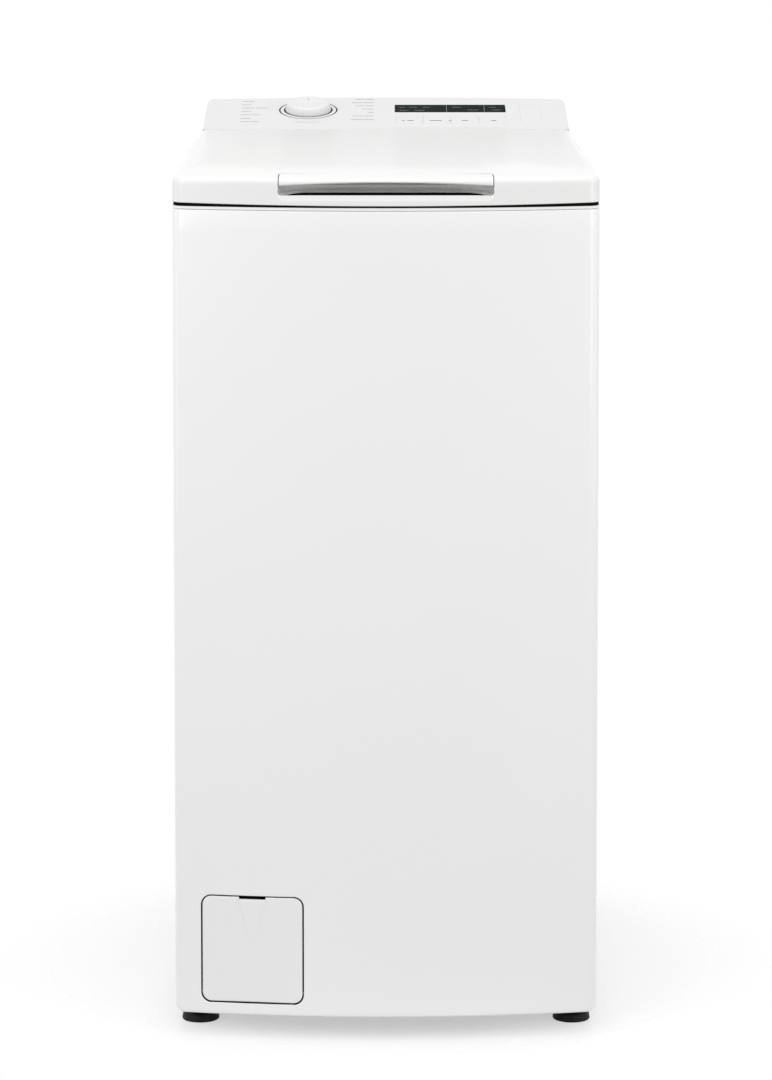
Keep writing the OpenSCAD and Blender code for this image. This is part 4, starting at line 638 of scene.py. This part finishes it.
# ---- Lid ----
# The lid is one hollow moulding of glossy white plastic, bowed and sloped like the rim below it. Its upper
# edge is rounded, and its rear is a round tail about the hinge axis with slots for the hinge ears. The front
# has a notch for the handle piece, with a chamfer along the bow below it.
lid_bottom, lid_top, lid_wall, lid_radius = 0.0018, 0.027958, 0.0025, 0.006
lid_lip, side_lift = 0.0005, 0.0016
hinge, tail_radius, axis_height = np.array([0, 0.1685, 0.852175]), 0.01814, 0.0188
handle_half, handle_depth, notch_low, notch_corner = 0.1005, 0.038, 0.012, 0.0035
chamfer_height, chamfer_depth, chamfer_fade = 0.0055, 0.0017, 0.006
ear_x, ear_half, boss_x, boss_radius = 0.150, 0.005, 0.0095, 0.006
bow_columns = bow_radius * np.sin(np.linspace(-1, 1, 97) * math.asin(edge_x / bow_radius))


def sloped(turn):
    """The axes of a frame turned about X, as rows."""
    c, s = math.cos(turn), math.sin(turn)
    return np.array([[1, 0, 0], [0, c, s], [0, -s, c]])


def lid_ring(inset, height, tail_inset, lift=0.0):
    """A level ring of the lid at a height above the rim: the plan of the front moved inwards by inset,
    straight sides, and a rear edge on the round tail, which reaches as far as its circle at that height."""
    front_part, out = front_path(bow_columns)
    front_part = front_part - out * inset
    drop = height * math.cos(slope) - axis_height
    reach = math.sqrt(max((tail_radius - tail_inset) ** 2 - drop**2, 0))
    back = hinge[1] + reach * math.cos(slope) - drop * math.sin(slope)
    left = front_part[0, 0]
    side = np.linspace((left, back), front_part[0], 24)[:-1]
    rear = np.linspace((-left, back), (left, back), 41)[1:-1]
    ring = np.concatenate([side, front_part, side[::-1] * [-1, 1], rear])
    return np.column_stack([ring, rim(ring[:, 1]) + height + lift * (ring[:, 0] / half_width) ** 2])


def shell_of(rings):
    """Points and faces of a closed skin over rings of equal count, with a flat face over each end."""
    count = len(rings[0])
    last = (len(rings) - 1) * count + np.arange(count)
    return np.concatenate(rings), [grid_faces(len(rings), count, wrap=True), [np.arange(count)], [last]]


def ring_at(x, y, z):
    """The ring of a skin that lies across x, from its y and z."""
    return np.column_stack([np.full(len(z), x), np.broadcast_to(y, len(z)), z])


def taper(x, half, fade, least):
    """One in the middle and, over the last fade before half on both sides, down a quarter of an ellipse."""
    return math.sqrt(max(1 - max((abs(x) - half) / fade + 1, 0) ** 2, least))


def cut(piece, *cutters):
    """Takes closed cutter pieces out of a piece and deletes them."""
    for cutter in cutters:
        step = piece.modifiers.new("cut", "BOOLEAN")
        step.object, step.operation, step.solver = cutter, "DIFFERENCE", "EXACT"
    bpy.context.view_layer.update()
    mesh = bpy.data.meshes.new_from_object(piece.evaluated_get(bpy.context.evaluated_depsgraph_get()))
    piece.modifiers.clear()
    piece.data = mesh
    for cutter in cutters:
        bpy.data.objects.remove(cutter)


outer, inner = [], []
inner_radius, heights = lid_radius - lid_wall, (0.0045, 0.007, 0.010, 0.013, 0.016, 0.019)
for turn in np.linspace(90, 0, 10):
    down, back = rounding(lid_radius, turn)
    outer.append(lid_ring(back, lid_top - down, back / 10))
    down, back = rounding(inner_radius, turn)
    inner.append(lid_ring(lid_wall + back, lid_top - lid_wall - down, lid_wall))
outer += [lid_ring(0, height, 0) for height in heights[::-1]]
outer.append(lid_ring(0, lid_bottom + lid_lip, 0, side_lift))
outer += [lid_ring(inset, lid_bottom, inset, side_lift) for inset in (lid_lip, lid_wall - lid_lip)]
outer.append(lid_ring(lid_wall, lid_bottom + lid_lip, lid_wall, side_lift))
outer += [lid_ring(lid_wall, height, lid_wall) for height in heights]
lid = make_piece("lid_shell_skin", *shell_of(outer + inner[::-3]), sharp=35)

corner = (handle_half - notch_corner, rim_front_z + notch_low + notch_corner)
half_notch = np.vstack([arc_points(corner, notch_corner, -90, 0, 9), [handle_half, corner[1] + 0.0465]])
notch = np.concatenate([half_notch, half_notch[::-1] * [-1, 1]])
rings = [np.insert(notch, 1, y, axis=1) for y in (front_y - 0.01, front_y + handle_depth)]
cutters = [make_piece("notch", *shell_of(rings))]
rings, lean = [], chamfer_depth / chamfer_height
for x in np.linspace(-handle_half, handle_half, 81):
    fade = taper(x, handle_half, chamfer_fade, 0.003)
    low, deep = -chamfer_height * fade - 0.0006 / lean, chamfer_depth * fade
    back = np.array([0.004, 0.0006, -deep - 0.0005 * lean, 0.004])
    up = np.array([low, low, 0.0005, 0.0005])
    rings.append(ring_at(x, float(bow(x)) - back, rim_front_z + notch_low + up))
cutters.append(make_piece("chamfer", *shell_of(rings)))
for side in (-1, 1):
    x = side * ear_x
    points, faces = rounded_box((x - ear_half, -0.012, -0.04), (x + ear_half, 0.03, 0.0065), 0.0001)
    cutters.append(make_piece("ear_slot", placed(points, sloped(slope), hinge), faces))
cut(lid, *cutters)


def sharp_edges(mesh, degrees):
    """Marks the edges that turn by more than degrees as sharp, and returns which they are."""
    mesh.set_sharp_from_angle(angle=math.radians(degrees))
    flags = np.zeros(len(mesh.edges), bool)
    mesh.attributes["sharp_edge"].data.foreach_get("value", flags)
    return flags


# The shallow edges of the chamfer stay sharp; elsewhere only edges that turn by more than 35 degrees do.
spots = np.array([vertex.co for vertex in lid.data.vertices])
middle = spots[np.array([edge.vertices for edge in lid.data.edges])].mean(1)
by_chamfer = (np.abs(middle[:, 0]) < handle_half + 0.001) & (middle[:, 1] < front_y + 0.02)
by_chamfer &= middle[:, 2] < rim_front_z + notch_low + 0.001
flags = sharp_edges(lid.data, 14) & by_chamfer
lid.data.attributes["sharp_edge"].data.foreach_set("value", flags | sharp_edges(lid.data, 35))
edges = lid.modifiers.new("edges", "BEVEL")
edges.width, edges.segments, edges.angle_limit = 0.0004, 2, math.radians(35)
edges.use_clamp_overlap, edges.harden_normals = True, True
lid.modifiers.new("joined", "WELD").merge_threshold = 0.000001


def gloss_plastic(name, colour, rough):
    """Glossy injection moulded plastic with a faint grain in its gloss and a slow drift in its colour."""
    warmer = tuple(c * f for c, f in zip(colour, (1.0, 0.997, 0.992)))
    milky = {"IOR": 1.49, "Subsurface Weight": 0.05, "Subsurface Radius": (0.002,) * 3}
    roughness = (rough - 0.02, rough + 0.03)
    return surface(name, (colour, warmer), (9,), roughness, (1500, 3), 0.00001, (160, 1), milky)


lid_white = gloss_plastic("gloss_white_plastic", (0.795, 0.795, 0.792), 0.23)
dress(lid, lid_white, "lid", "gloss_white_plastic", "lid_shell")

arc = arc_points((0, 0), boss_radius, 0, -180, 17)
boss = np.concatenate([[[boss_radius, 0.008]], arc, [[-boss_radius, 0.008]]])
parts = []
for x in (ear_x + boss_x, ear_x - boss_x, -ear_x + boss_x, -ear_x - boss_x):
    ends = (-0.004, 0.94), (-0.0036, 1), (0.0036, 1), (0.004, 0.94)
    points, faces = shell_of([ring_at(x + dx, *(boss * grow).T) for dx, grow in ends])
    parts.append((placed(points, sloped(slope), hinge), faces))
bosses = make_piece("lid_bosses", *joined(*parts))
dress(bosses, lid_white, "lid", "gloss_white_plastic", "lid_shell")

# ---- Lid gap shade ----
# A black strip runs under the front and the sides of the lid, a little behind its edge. It is painted shade
# in the gap to the rim, so the gap reads as a black line. It rides with the lid and stays clear of the rim.
shade_strip_back, shade_strip_width, shade_strip_height, shade_strip_clear = 0.0008, 0.003, 0.0028, 0.0003
shade_strip_end, shade_strip_corner = 0.12, 0.0004
path, path_out = (array[4:-4] for array in front_path(bow_columns))
side = np.linspace((-half_width, shade_strip_end), (-half_width, path[0, 1]), 40)[:-1]
path = np.concatenate([side, path, side[::-1] * [-1, 1]])
path_out = np.concatenate([np.full(side.shape, (-1, 0)), path_out, np.full(side.shape, (1, 0))])
section = [(0, shade_strip_height), (0, shade_strip_corner), (shade_strip_corner, 0), (shade_strip_width - shade_strip_corner, 0)]
section += [(shade_strip_width, shade_strip_corner), (shade_strip_width, shade_strip_height)]
rings = []
for inward, up in section:
    xy = path - path_out * (shade_strip_back + inward)
    rings.append(np.column_stack([xy, rim(xy[:, 1]) + shade_strip_clear + up]))
shade_strip = make_piece("lid_gap_shade", *shell_of(list(np.stack(rings, 1))))
# A plain black with little gloss, used only as painted shade in gaps: under the lid, at the grip's ends, in
# the scoop's slot and round the knob ring.
dull = {"Specular IOR Level": 0.05}
shade_black = matt("gap_shade_black", (0.001,) * 3, (0.003,) * 3, 0.8, 500, 0.00001, fixed=dull)
dress(shade_strip, shade_black, "lid")

# ---- Handle ----
# The grip is a separate white moulding in the notch, with an arched front lip. Black pieces in the joint at
# each end paint the shade of those joints. A scoop of satin silver grey below it, a quarter of an ellipse
# with round ends, leaves room for the fingers. Its sheet's edge is mid grey, painted shade, and below that a
# thin black strip, tapering to both sides, paints the shade in the slot.
lip_low, lip_arch, lip_thick, lip_round, grip_wall = 0.0198, 0.0032, 0.0052, 0.0018, 0.0026
grip_half, joint_gap = 0.0997, 0.00002
scoop_half, scoop_front, scoop_run, scoop_round = 0.1003, 0.0064, 0.019, 0.0034
scoop_base, scoop_rise, scoop_shallow, scoop_sheet = notch_low + 0.0024, 0.0078, 0.009, 0.0010
scoop_dip, dip_start, dip_run = 0.0012, 0.070, 0.026
strip_half, strip_fade, strip_height, strip_thick = 0.091, 0.022, 0.0026, 0.0006


def grip_profile(x):
    """Section of the grip at x, as (distance behind the bowed front, height above the rim): the lip's round
    lower edge, the round edge of the lid from there on, the top, the rear wall, the underside."""
    low = lip_low + lip_arch * (1 - (x / handle_half) ** 2)
    begin = math.degrees(math.asin(1 - (lid_top - low - lip_round) / lid_radius))
    down, back = rounding(lid_radius, np.linspace(begin, 90, 9))
    edge, base = np.column_stack([back, lid_top - down]), back[0]
    up, back = rounding(1, np.array([90, 72, 54, 36, 18]))
    under = np.column_stack([base + lip_thick / 2 * back, low + lip_round * up])
    back, ceiling, foot = base + lip_thick, lid_top - grip_wall, notch_low + 0.001
    lip = [[back + 0.002, ceiling - 0.0004], [back, low + 0.0008], [back - 0.0008, low]]
    rear = [[0.037, lid_top], [0.0374, lid_top - 0.0004], [0.0374, foot], [0.035, foot]]
    return np.concatenate([lip, under, edge, rear, [[0.035, ceiling - 0.002], [0.033, ceiling]]])


def grip_ring(x, grow=(1, 1)):
    """The grip's section at x, grown about its middle, behind the bowed front and above the sloped rim."""
    section = grip_profile(x)
    section = section.mean(0) + (section - section.mean(0)) * grow
    y = float(bow(x)) + section[:, 0]
    return ring_at(x, y, rim(y) + section[:, 1])


end = (0.996, 0.98)
rings = [grip_ring(x) for x in np.linspace(-grip_half + 0.0004, grip_half - 0.0004, 81)]
rings = [grip_ring(-grip_half, end), *rings, grip_ring(grip_half, end)]
grip = make_piece("lid_grip", *shell_of(rings), sharp=40)
dress(grip, lid_white, "lid", "gloss_white_plastic", "lid_handle")
# Black pieces at both ends of the grip paint the shade in its joints.
for side, side_name in ((1, "right"), (-1, "left")):
    ends = side * (grip_half + joint_gap), side * (handle_half - joint_gap)
    end_shade = make_piece(f"{side_name}_grip_end_shade", *shell_of([grip_ring(x, (0.985, 0.96)) for x in ends]))
    dress(end_shade, shade_black, "lid")

end_x = -scoop_half + scoop_round * (1 - np.cos(np.linspace(0, np.pi / 2, 12)))
middle_x = np.linspace(-scoop_half + scoop_round, scoop_half - scoop_round, 30)[1:-1]
xs = np.concatenate([end_x, middle_x, -end_x[::-1]])
over = np.clip((np.abs(xs) - scoop_half + scoop_round) / scoop_round, 0, 1)
depth = np.sqrt(np.maximum(1 - over**2, 0))[:, None]
turn = np.linspace(0, np.pi / 2, 15)[None]
run = (scoop_run - scoop_shallow * np.abs(xs / scoop_half) ** 3)[:, None]
scoop_y = front_y + scoop_front + run * np.sin(turn)
dip = scoop_dip * np.clip((np.abs(xs) - dip_start) / dip_run, 0, 1)[:, None] ** 2
scoop_z = rim_front_z + scoop_base + scoop_rise - (scoop_rise + dip) * np.cos(turn) * depth
points = np.stack([np.broadcast_to(xs[:, None], scoop_y.shape), scoop_y, scoop_z], -1)
points = np.concatenate([points[:, :1] - [0, 0.0004, 0.0001], points], 1)
scoop = make_piece("handle_scoop", points, [grid_faces(*points.shape[:2])], sharp=50)
thicken(scoop, (0, -1, 1), scoop_sheet).material_offset_rim = 1
brushed, pale, bright = (60, 2, 0.5, (1, 30, 30)), (0.90, 0.893, 0.885), (0.95, 0.943, 0.935)
gloss, grain = (120, 3, 0.6, (1, 24, 24)), (260, 2, 0.6, (1, 20, 20))
shine = {"Metallic": 0.75}
satin = surface("silver_grey_plastic", (pale, bright), brushed, (0.26, 0.36), gloss, 0.000008, grain, shine)
dress(scoop, satin, "lid", "silver_grey_plastic", "handle_trough")
# The mid grey of the scoop's sheet edge is painted shade; it keeps the rim from showing a bright line.
sheet_edge_shade = matt("sheet_edge_shade", (0.34, 0.338, 0.335), (0.42, 0.417, 0.414), 0.5, 300, 0.00001)
scoop.data.materials.append(sheet_edge_shade)
# A thin black strip under the scoop's front edge paints the shade in the slot, tapering to both ends.
strip_y = front_y + scoop_front - 0.0005 - strip_thick * np.array([0, 1, 1, 0])
rings = []
for x in np.linspace(-strip_half, strip_half, 61):
    up = np.array([0, 0, 1, 1]) * strip_height * taper(x, strip_half, strip_fade, 0.002)
    rings.append(ring_at(x, strip_y, rim_front_z + notch_low + 0.0001 + up))
dress(make_piece("scoop_slot_shade", *shell_of(rings)), shade_black, "lid")

# ---- Lid liner, hook, pins and tray ----
# Under the lid lies a satin white liner with the steel hook that goes into the lock. Two steel pins hinge the
# lid to the ears of the frame. The tray for the washing powder clips under the liner and opens with the lid.
finish(satin_white, "white_plastic", "lid_liner", "detergent_tray")
finish(turned_steel, "plain_steel", "lid_hook", "lid_hinge_pins")

# ---- Console ----
# The console is a hollow white moulding across the back. Its face slopes up to a crowned top edge with round
# upper corners, and its lower front is hollowed for the lid's tail. It has pockets for the display window
# and the ring of the knob, and openings for the keys and the two buttons.
console_half, console_front, console_top, console_back, console_wall = 0.199, 0.183, 0.900, 0.300, 0.0032
console_crown, console_corner, console_edge, console_round = 0.0022, 0.006, 0.002, 0.004
face_slope, face_origin = math.radians(18.435), np.array([0, 0.184, 0.862883])
display_place, display_size, display_depth = (0.071, 0.0755), (0.1224, 0.028), 0.002
knob_place, bezel_radius, tail_clear = (-0.086, 0.070), 0.032, 0.0006
key_size, start_size, power_size, button_gap = (0.0294, 0.0244), (0.0232, 0.0362), (0.0232, 0.0222), 0.00012
key_x = [0.0251 + i * 0.0306 for i in range(4)]
caps = [(f"option_key_{i + 1}", (key_x[i], 0.032), key_size, f"key_{i + 1}") for i in range(4)]
caps.append(("start_button", (0.1594, 0.0701), start_size, "start"))
caps.append(("power_button", (0.1594, 0.0395), power_size, "power"))


def soft_min(a, b, blend):
    """The smaller of two values, rounded over where they are within blend of each other."""
    mix = np.clip(0.5 + (b - a) / (2 * blend), 0, 1)
    return b + (a - b) * mix - blend * mix * (1 - mix)


def console_section(x, inset, below):
    """Section of the console at x, as (y, z): up its front edge, along its sloped face, round its rear top
    edge and down its back. The crown and the round upper corners limit its height."""
    straight = console_half - console_corner
    beyond = max(abs(x) - straight, 0)
    limit = console_top - console_crown * min(abs(x) / straight, 1) ** 2
    limit -= console_corner - math.sqrt(max(console_corner**2 - beyond**2, 0))
    drop = max(abs(x) - (console_half - console_edge), 0)
    drop = console_edge - math.sqrt(max(console_edge**2 - drop**2, 0)) + inset / math.cos(face_slope)
    y0, centre = console_front + inset, (console_back - console_round, console_top - console_round)
    top = arc_points(centre, console_round - min(inset, 0.0038), 90 + math.degrees(face_slope), 0, 9)
    y = np.concatenate([[y0, y0, y0 + 0.0002, y0 + 0.0007], np.linspace(y0 + 0.0014, top[0, 0], 40)[:-1]])
    z = face_origin[2] + (y - face_origin[1]) * math.tan(face_slope)
    z[:4] -= (0.02, 0.0009, 0.0003, 0.0001)
    z = soft_min(np.concatenate([z - drop, top[:, 1] - drop + inset]), limit - inset, 0.0008)
    base = rim(np.array([console_back - inset, y0])) - below
    z[0] = base[1] + 0.001
    return np.concatenate([y, top[:, 0], [console_back - inset, y0]]), np.concatenate([z, base])


def console_solid(name, inset, below):
    """The closed solid between the console's sections, denser towards its ends."""
    straight = console_half - console_corner
    end = straight + console_corner * np.sin(np.linspace(0, np.pi / 2, 12))
    right = np.concatenate([np.linspace(0, straight, 30)[:-1], end])
    scale = (console_half - inset) / console_half
    xs = np.concatenate([-right[:0:-1], right])
    rings = [ring_at(x * scale, *console_section(x, inset, below)) for x in xs]
    return make_piece(name, *shell_of(rings), sharp=40)


def on_face(points, faces, place=(0, 0)):
    """Points given at a place on the console's face, moved into the machine, and their faces."""
    return placed(points + [*place, 0], sloped(face_slope), face_origin), faces


def face_prism(name, place, size, radius, low, high):
    """A closed prism with round corners, square to the console's face, from depth low to high."""
    return make_piece(name, *on_face(*shell_of([round_loop(place, size, radius, n) for n in (low, high)])))


console = console_solid("console_skin", 0, 0)
cutters = [console_solid("hollow", console_wall, 0.002)]
tail_y, tail_z = arc_points(hinge[1:], tail_radius + tail_clear, 0, 360, 97)[:-1].T
cutters.append(make_piece("tail_hollow", *shell_of([ring_at(x, tail_y, tail_z) for x in (-0.21, 0.21)])))
cutters.append(face_prism("window", display_place, (0.1164, 0.0224), 0.001, -0.02, 0.01))
cutters.append(face_prism("window_seat", display_place, (0.1228, 0.0284), 0.001, -display_depth, 0.012))
for name, place, size, body in caps:
    cutters.append(face_prism("key_hole", place, np.array(size) + 2 * button_gap, 0.002, -0.02, 0.01))
for radius, low in ((bezel_radius + 0.0004, -0.003), (0.004, -0.02)):
    circle = arc_points(knob_place, radius, 0, 360, 129)[:-1]
    rings = [np.insert(circle, 2, n, axis=1) for n in (low, 0.015)]
    cutters.append(make_piece("knob_seat", *on_face(*shell_of(rings))))
cut(console, *cutters)
console.data.set_sharp_from_angle(angle=math.radians(35))
# The console's white is a darker copy of the lid's white plastic: painted shade against the strong light that
# its sloped face catches. The ring, the keys and their lips share it.
console_white_shaded = gloss_plastic("console_white_plastic", (0.69, 0.691, 0.69), 0.24)
dress(console, console_white_shaded, "cabinet", "gloss_white_plastic", "console_housing")

# ---- Keys and buttons ----
# Four wide keys below the display and two buttons at the right, each a separate cap with a softly rounded
# edge and a face that is dished by a fraction of a millimetre. They stand flush in their openings.
cap_depth, cap_height, cap_corner, cap_edge, cap_dish = 0.008, 0.0001, 0.0018, 0.00025, 0.0001


def cap_points(place, size):
    """A cap as rings from its foot up its walls, round its edge and in to the middle of its dished face."""
    foot = round_loop(place, size - 0.002, cap_corner - 0.001, -cap_depth)
    rings = [foot, round_loop(place, size, cap_corner, -cap_depth)]
    for down, inset in (rounding(cap_edge, turn) for turn in (0, 30, 60, 90)):
        rings.append(round_loop(place, size - 2 * inset, cap_corner - inset, cap_height - down))
    middle = np.array([*place, 0.0])
    for scale in (0.8, 0.5, 0.2):
        ring = middle + (rings[5] - middle) * [scale, scale, 1]
        rings.append(ring - [0, 0, cap_dish * (1 - scale**2)])
    return shell_of(rings)


for name, place, size, body in caps:
    cap = make_piece(name + "_cap", *on_face(*cap_points(place, np.array(size))), sharp=50)
    dress(cap, console_white_shaded, body, "gloss_white_plastic", name)

# A thin white lip of the console's own colour stands in each joint, just below the face, and keeps water out.
lips, near, wide, low, high = [], 0.00004, 0.0002, -0.0007, -0.0002
lip_section = (near, low), (wide, low), (wide, high), (near, high), (near, low)
for name, place, size, body in caps:
    rings = [round_loop(place, np.array(size) + grow, cap_corner + grow / 2, n) for grow, n in lip_section]
    lips.append(on_face(np.concatenate(rings), [grid_faces(5, len(rings[0]), wrap=True)]))
dress(make_piece("key_lips", *joined(*lips)), console_white_shaded, "cabinet")

# ---- Knob and its ring ----
# The programme knob is a conical cap with a rounded rim and a dished top, on a shaft that goes into the
# selector. It turns in a white ring set into the console's face. Black rings in the joints outside and inside
# the ring paint the shade in those joints. A small grey mark on its top shows the programme.
ring_profile = [(0.0042, -0.0028), (0.0309, -0.0028), (0.0309, -0.0001), (0.03075, 0.0002), (0.0305, 0.0003)]
ring_profile += [(0.0274, 0.0003), (0.0271, 0.0002), (0.0269, -0.0001), (0.0269, -0.0012)]
ring_profile += [(0.0042, -0.0012), (0.0042, -0.0028)]
ring = make_piece("knob_ring", *on_face(*lathe(ring_profile, 128), knob_place), sharp=35)
dress(ring, console_white_shaded, "cabinet", "gloss_white_plastic", "knob_bezel")
# Black rings in the joints outside and inside the ring paint the shade of those joints.
ring_shades = []
for inner, outer, low, high in ((0.03092, 0.03235, -0.0029, -0.0002), (0.0245, 0.02688, -0.0011, -0.0004)):
    profile = [(inner, low), (outer, low), (outer, high), (inner, high), (inner, low)]
    ring_shades.append(on_face(*lathe(profile, 128), knob_place))
dress(make_piece("knob_ring_shades", *joined(*ring_shades)), shade_black, "cabinet")

foot = [(pole, -0.010), (0.0028, -0.010), (0.003, -0.0098), (0.003, -0.0003)]
skirt = [(0.0247, -0.0003), (0.0252, 0.0), (0.0254, 0.0006)]
rim_arc = arc_points((0.0206, 0.0058), 0.0033, 8, 84, 12)
dish = [(r, 0.0078 + 0.0013 * (r / 0.0195) ** 2) for r in (0.0185, 0.016, 0.013, 0.010, 0.005, pole)]
profile = np.concatenate([foot, skirt, rim_arc, dish])
knob = make_piece("programme_knob", *on_face(*lathe(profile, 128), knob_place), sharp=35)
knob_white = gloss_plastic("knob_white_plastic", (0.70, 0.70, 0.698), 0.42)
dress(knob, knob_white, "knob", "gloss_white_plastic", "program_knob")
mark = rounded_box((-0.0004, 0.0105, 0.0075), (0.0004, 0.0155, 0.00868), 0.0001)
mark = make_piece("knob_mark", *on_face(*mark, knob_place))

# ---- Display and printing ----
# The display is a plate of almost black greenish glass set flush into the console, with faint marks and two
# dividers. Short plain bars of fine ink stand in place of words, grey on the console and darker on the keys,
# and four small clear lamps stand above the keys.
ink_depth, ink_height, key_ink_height, plate_edge = 0.0001, 0.00002, 0.00012, 0.0003
row_height, word_gap = 1.5, 1.2


def plate(place, size, low, high):
    """Points and faces of a small flat box on the console's face, from depth low to high."""
    w, h = np.array(size) / 2
    return on_face(*rounded_box((-w, -h, low), (w, h, high), min(plate_edge, (high - low) / 3)), place)


def bars_piece(name, bars, low, high):
    """One mesh of flat bars, each given in millimetres: its middle, along and up the face, and its size."""
    plates = [plate((x / 1000, u / 1000), (w / 1000, h / 1000), low, high) for x, u, w, h in bars]
    return make_piece(name, *joined(*plates))


def print_ink(name, low, high, fleck, rough=0.5):
    """Ink or clear plastic with a fleck between two colours."""
    material, shader, place = new_material(name)
    feed(shader, {"Base Color": tint(noise(place, fleck), low, high), "Roughness": rough})
    return material


window = make_piece("display_window", *plate(display_place, display_size, -display_depth, 0.0))
glass, shader, place = new_material("display_glass")
rough = spread(noise(place, 300, 2), 0.05, 0.09)
dark = (0.003, 0.010, 0.005, 1)
feed(shader, {"Base Color": dark, "Roughness": rough, "Specular IOR Level": 0.006})
dress(window, glass, "cabinet", "display_glass", "display_lens")

marks = [(x, 75.5, 0.7, 26) for x in (67.0, 108.8)]
marks += [(x, 80.0, w, 1.1) for x, w in ((18.0, 7), (30.0, 9), (44.5, 8), (78.0, 10), (118.0, 8))]
marks += [(x, 69.0, w, 1.1) for x, w in ((20.0, 10), (37.0, 12))]
marks += [(x, 70.0, w, 1.1) for x, w in ((96.0, 12), (122.0, 10))]
display_marks = bars_piece("display_marks", marks, -0.0004, 0.00003)
faint = print_ink("display_print", (0.16, 0.19, 0.17), (0.20, 0.23, 0.21), 200)
dress(display_marks, faint, "cabinet")

left_rows = [(101.9, -146.9), (89.1, -149.8), (77.4, -130.2), (65.1, -148.8), (52.2, -138.8), (38.6, -148.8)]
right_rows = [(109.9, -34.0), (97.3, -38.4), (85.3, -33.8), (73.3, -26.9), (60.7, -20.1), (47.8, -36.7)]
legend_rows = [(u, -159.7, end) for u, end in [*left_rows, (26.9, -138.9)]]
legend_rows += [(u, start, -13.5) for u, start in [*right_rows, (34.9, -38.8)]]
bars = []
for u, start, end in legend_rows:
    words = 2 if end - start > 15 else 1
    length = (end - start - word_gap * (words - 1)) / words
    bars += [(start + length / 2 + k * (length + word_gap), u, length, row_height) for k in range(words)]
bars += [(-86.3, 25.1, 26.6, 0.8), (70.3, 4.2, 121.8, 0.5)]
legend = bars_piece("console_print", bars, -ink_depth, ink_height)
dress(legend, print_ink("grey_ink", (0.17, 0.18, 0.19), (0.24, 0.25, 0.26), 900), "cabinet")

icon_ink = matt("dark_ink", (0.04, 0.042, 0.044), (0.06, 0.062, 0.064), 0.5, 900, 0.000001)
icons = [(18.9, 3.3), (26.6, 6.6), (54.3, 13.3), (69.8, 3.3), (86.4, 6.7), (118.0, 5.5)]
for i in range(4):
    own = [(x, 31.3, w, 1.6) for x, w in icons if abs(x / 1000 - key_x[i]) < 0.0153]
    icon = bars_piece(f"key_{i + 1}_print", own, -ink_depth, cap_height - cap_dish + key_ink_height)
    dress(icon, icon_ink, f"key_{i + 1}")

lens_profile = [(pole, -0.0003), (0.0008, -0.0003), (0.0008, 0.0), (0.0005, 0.00018), (pole, 0.00024)]
lamps = [on_face(*lathe(lens_profile, 24), (x, 0.0465)) for x in (0.0349, 0.0413, 0.1, 0.1318)]
lamp_row = make_piece("console_lamps", *joined(*lamps))
lens_grey = print_ink("lamp_lens", (0.30, 0.31, 0.30), (0.38, 0.39, 0.38), 500, 0.2)
dress(lamp_row, lens_grey, "cabinet")
dress(mark, lens_grey, "knob")

# ---- Floor and light ----
# The machine stands on a pale floor that fades into a plain white background. The light is a soft studio
# light: a large panel overhead, one from the front left, a weaker one from the front right, and a weak one
# at each side for the upright edges.
floor = make_piece("floor", [(-6, -6, 0), (6, -6, 0), (6, 6, 0), (-6, 6, 0)], [[(0, 1, 2, 3)]])
material, shader, place = new_material("studio_floor")
rough = spread(noise(place, 40, 3), 0.42, 0.5)
feed(shader, {"Base Color": (0.98, 0.98, 0.98, 1), "Roughness": rough})
far = add(place.id_data, "VectorMath", {0: place}, 1)
far.node.operation = "LENGTH"
fade = spread(far, 0.45, 1.0, 0.24, 0.44)
fade.node.interpolation_type = "SMOOTHSTEP"
see_through(fade)
floor.data.materials.append(material)
floor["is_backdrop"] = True

world = bpy.data.worlds.new("studio")
bpy.context.scene.world = world
world.use_nodes = True
tree = world.node_tree
tree.nodes.clear()
rays = tree.nodes.new("ShaderNodeLightPath").outputs
plain, ambient = (add(tree, "Background", {"Color": (1, 1, 1, 1), "Strength": s}) for s in (1.0, 0.5))
seen = rays["Is Camera Ray"]
for name in ("Is Glossy Ray", "Is Transmission Ray"):
    seen = maths("MAXIMUM", seen, rays[name])
mix = add(tree, "MixShader", {"Fac": seen, 1: ambient, 2: plain})
tree.links.new(mix, tree.nodes.new("ShaderNodeOutputWorld").inputs["Surface"])

for name, place, aim_height, width, height, power in (
    ("overhead", (0.0, -0.3, 3.2), 0.6, 2.6, 2.6, 31),
    ("front_left", (-2.2, -2.8, 1.9), 0.5, 1.8, 2.4, 47),
    ("front_right", (2.4, -2.4, 1.5), 0.5, 1.6, 2.4, 33),
    ("left_side", (-3.0, -0.4, 1.3), 0.5, 1.8, 2.4, 15),
    ("right_side", (3.0, -0.4, 1.3), 0.5, 1.8, 2.4, 15),
):
    lamp = bpy.data.lights.new(name, "AREA")
    lamp.shape, lamp.size, lamp.size_y, lamp.energy = "RECTANGLE", width, height, power
    light = bpy.data.objects.new(name, lamp)
    light.location = place
    aim = mathutils.Vector((0, 0, aim_height)) - mathutils.Vector(place)
    light.rotation_euler = aim.to_track_quat("-Z", "Y").to_euler()
    bpy.context.scene.collection.objects.link(light)

# ---- Camera ----
# A long lens in front of the machine, a little above it, looks slightly down on its lid.
lens = bpy.data.cameras.new("camera")
lens.lens, lens.sensor_width, lens.shift_y = 100.18, 36, -0.17
lens.clip_end = 50
camera = bpy.data.objects.new("camera", lens)
camera.location = (0, -3.0877, 0.8190)
camera.rotation_euler = (math.radians(90 - 3.5545), 0, 0)
bpy.context.scene.collection.objects.link(camera)
bpy.context.scene.camera = camera
bpy.context.scene.view_settings.view_transform = "Standard"

low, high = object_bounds()
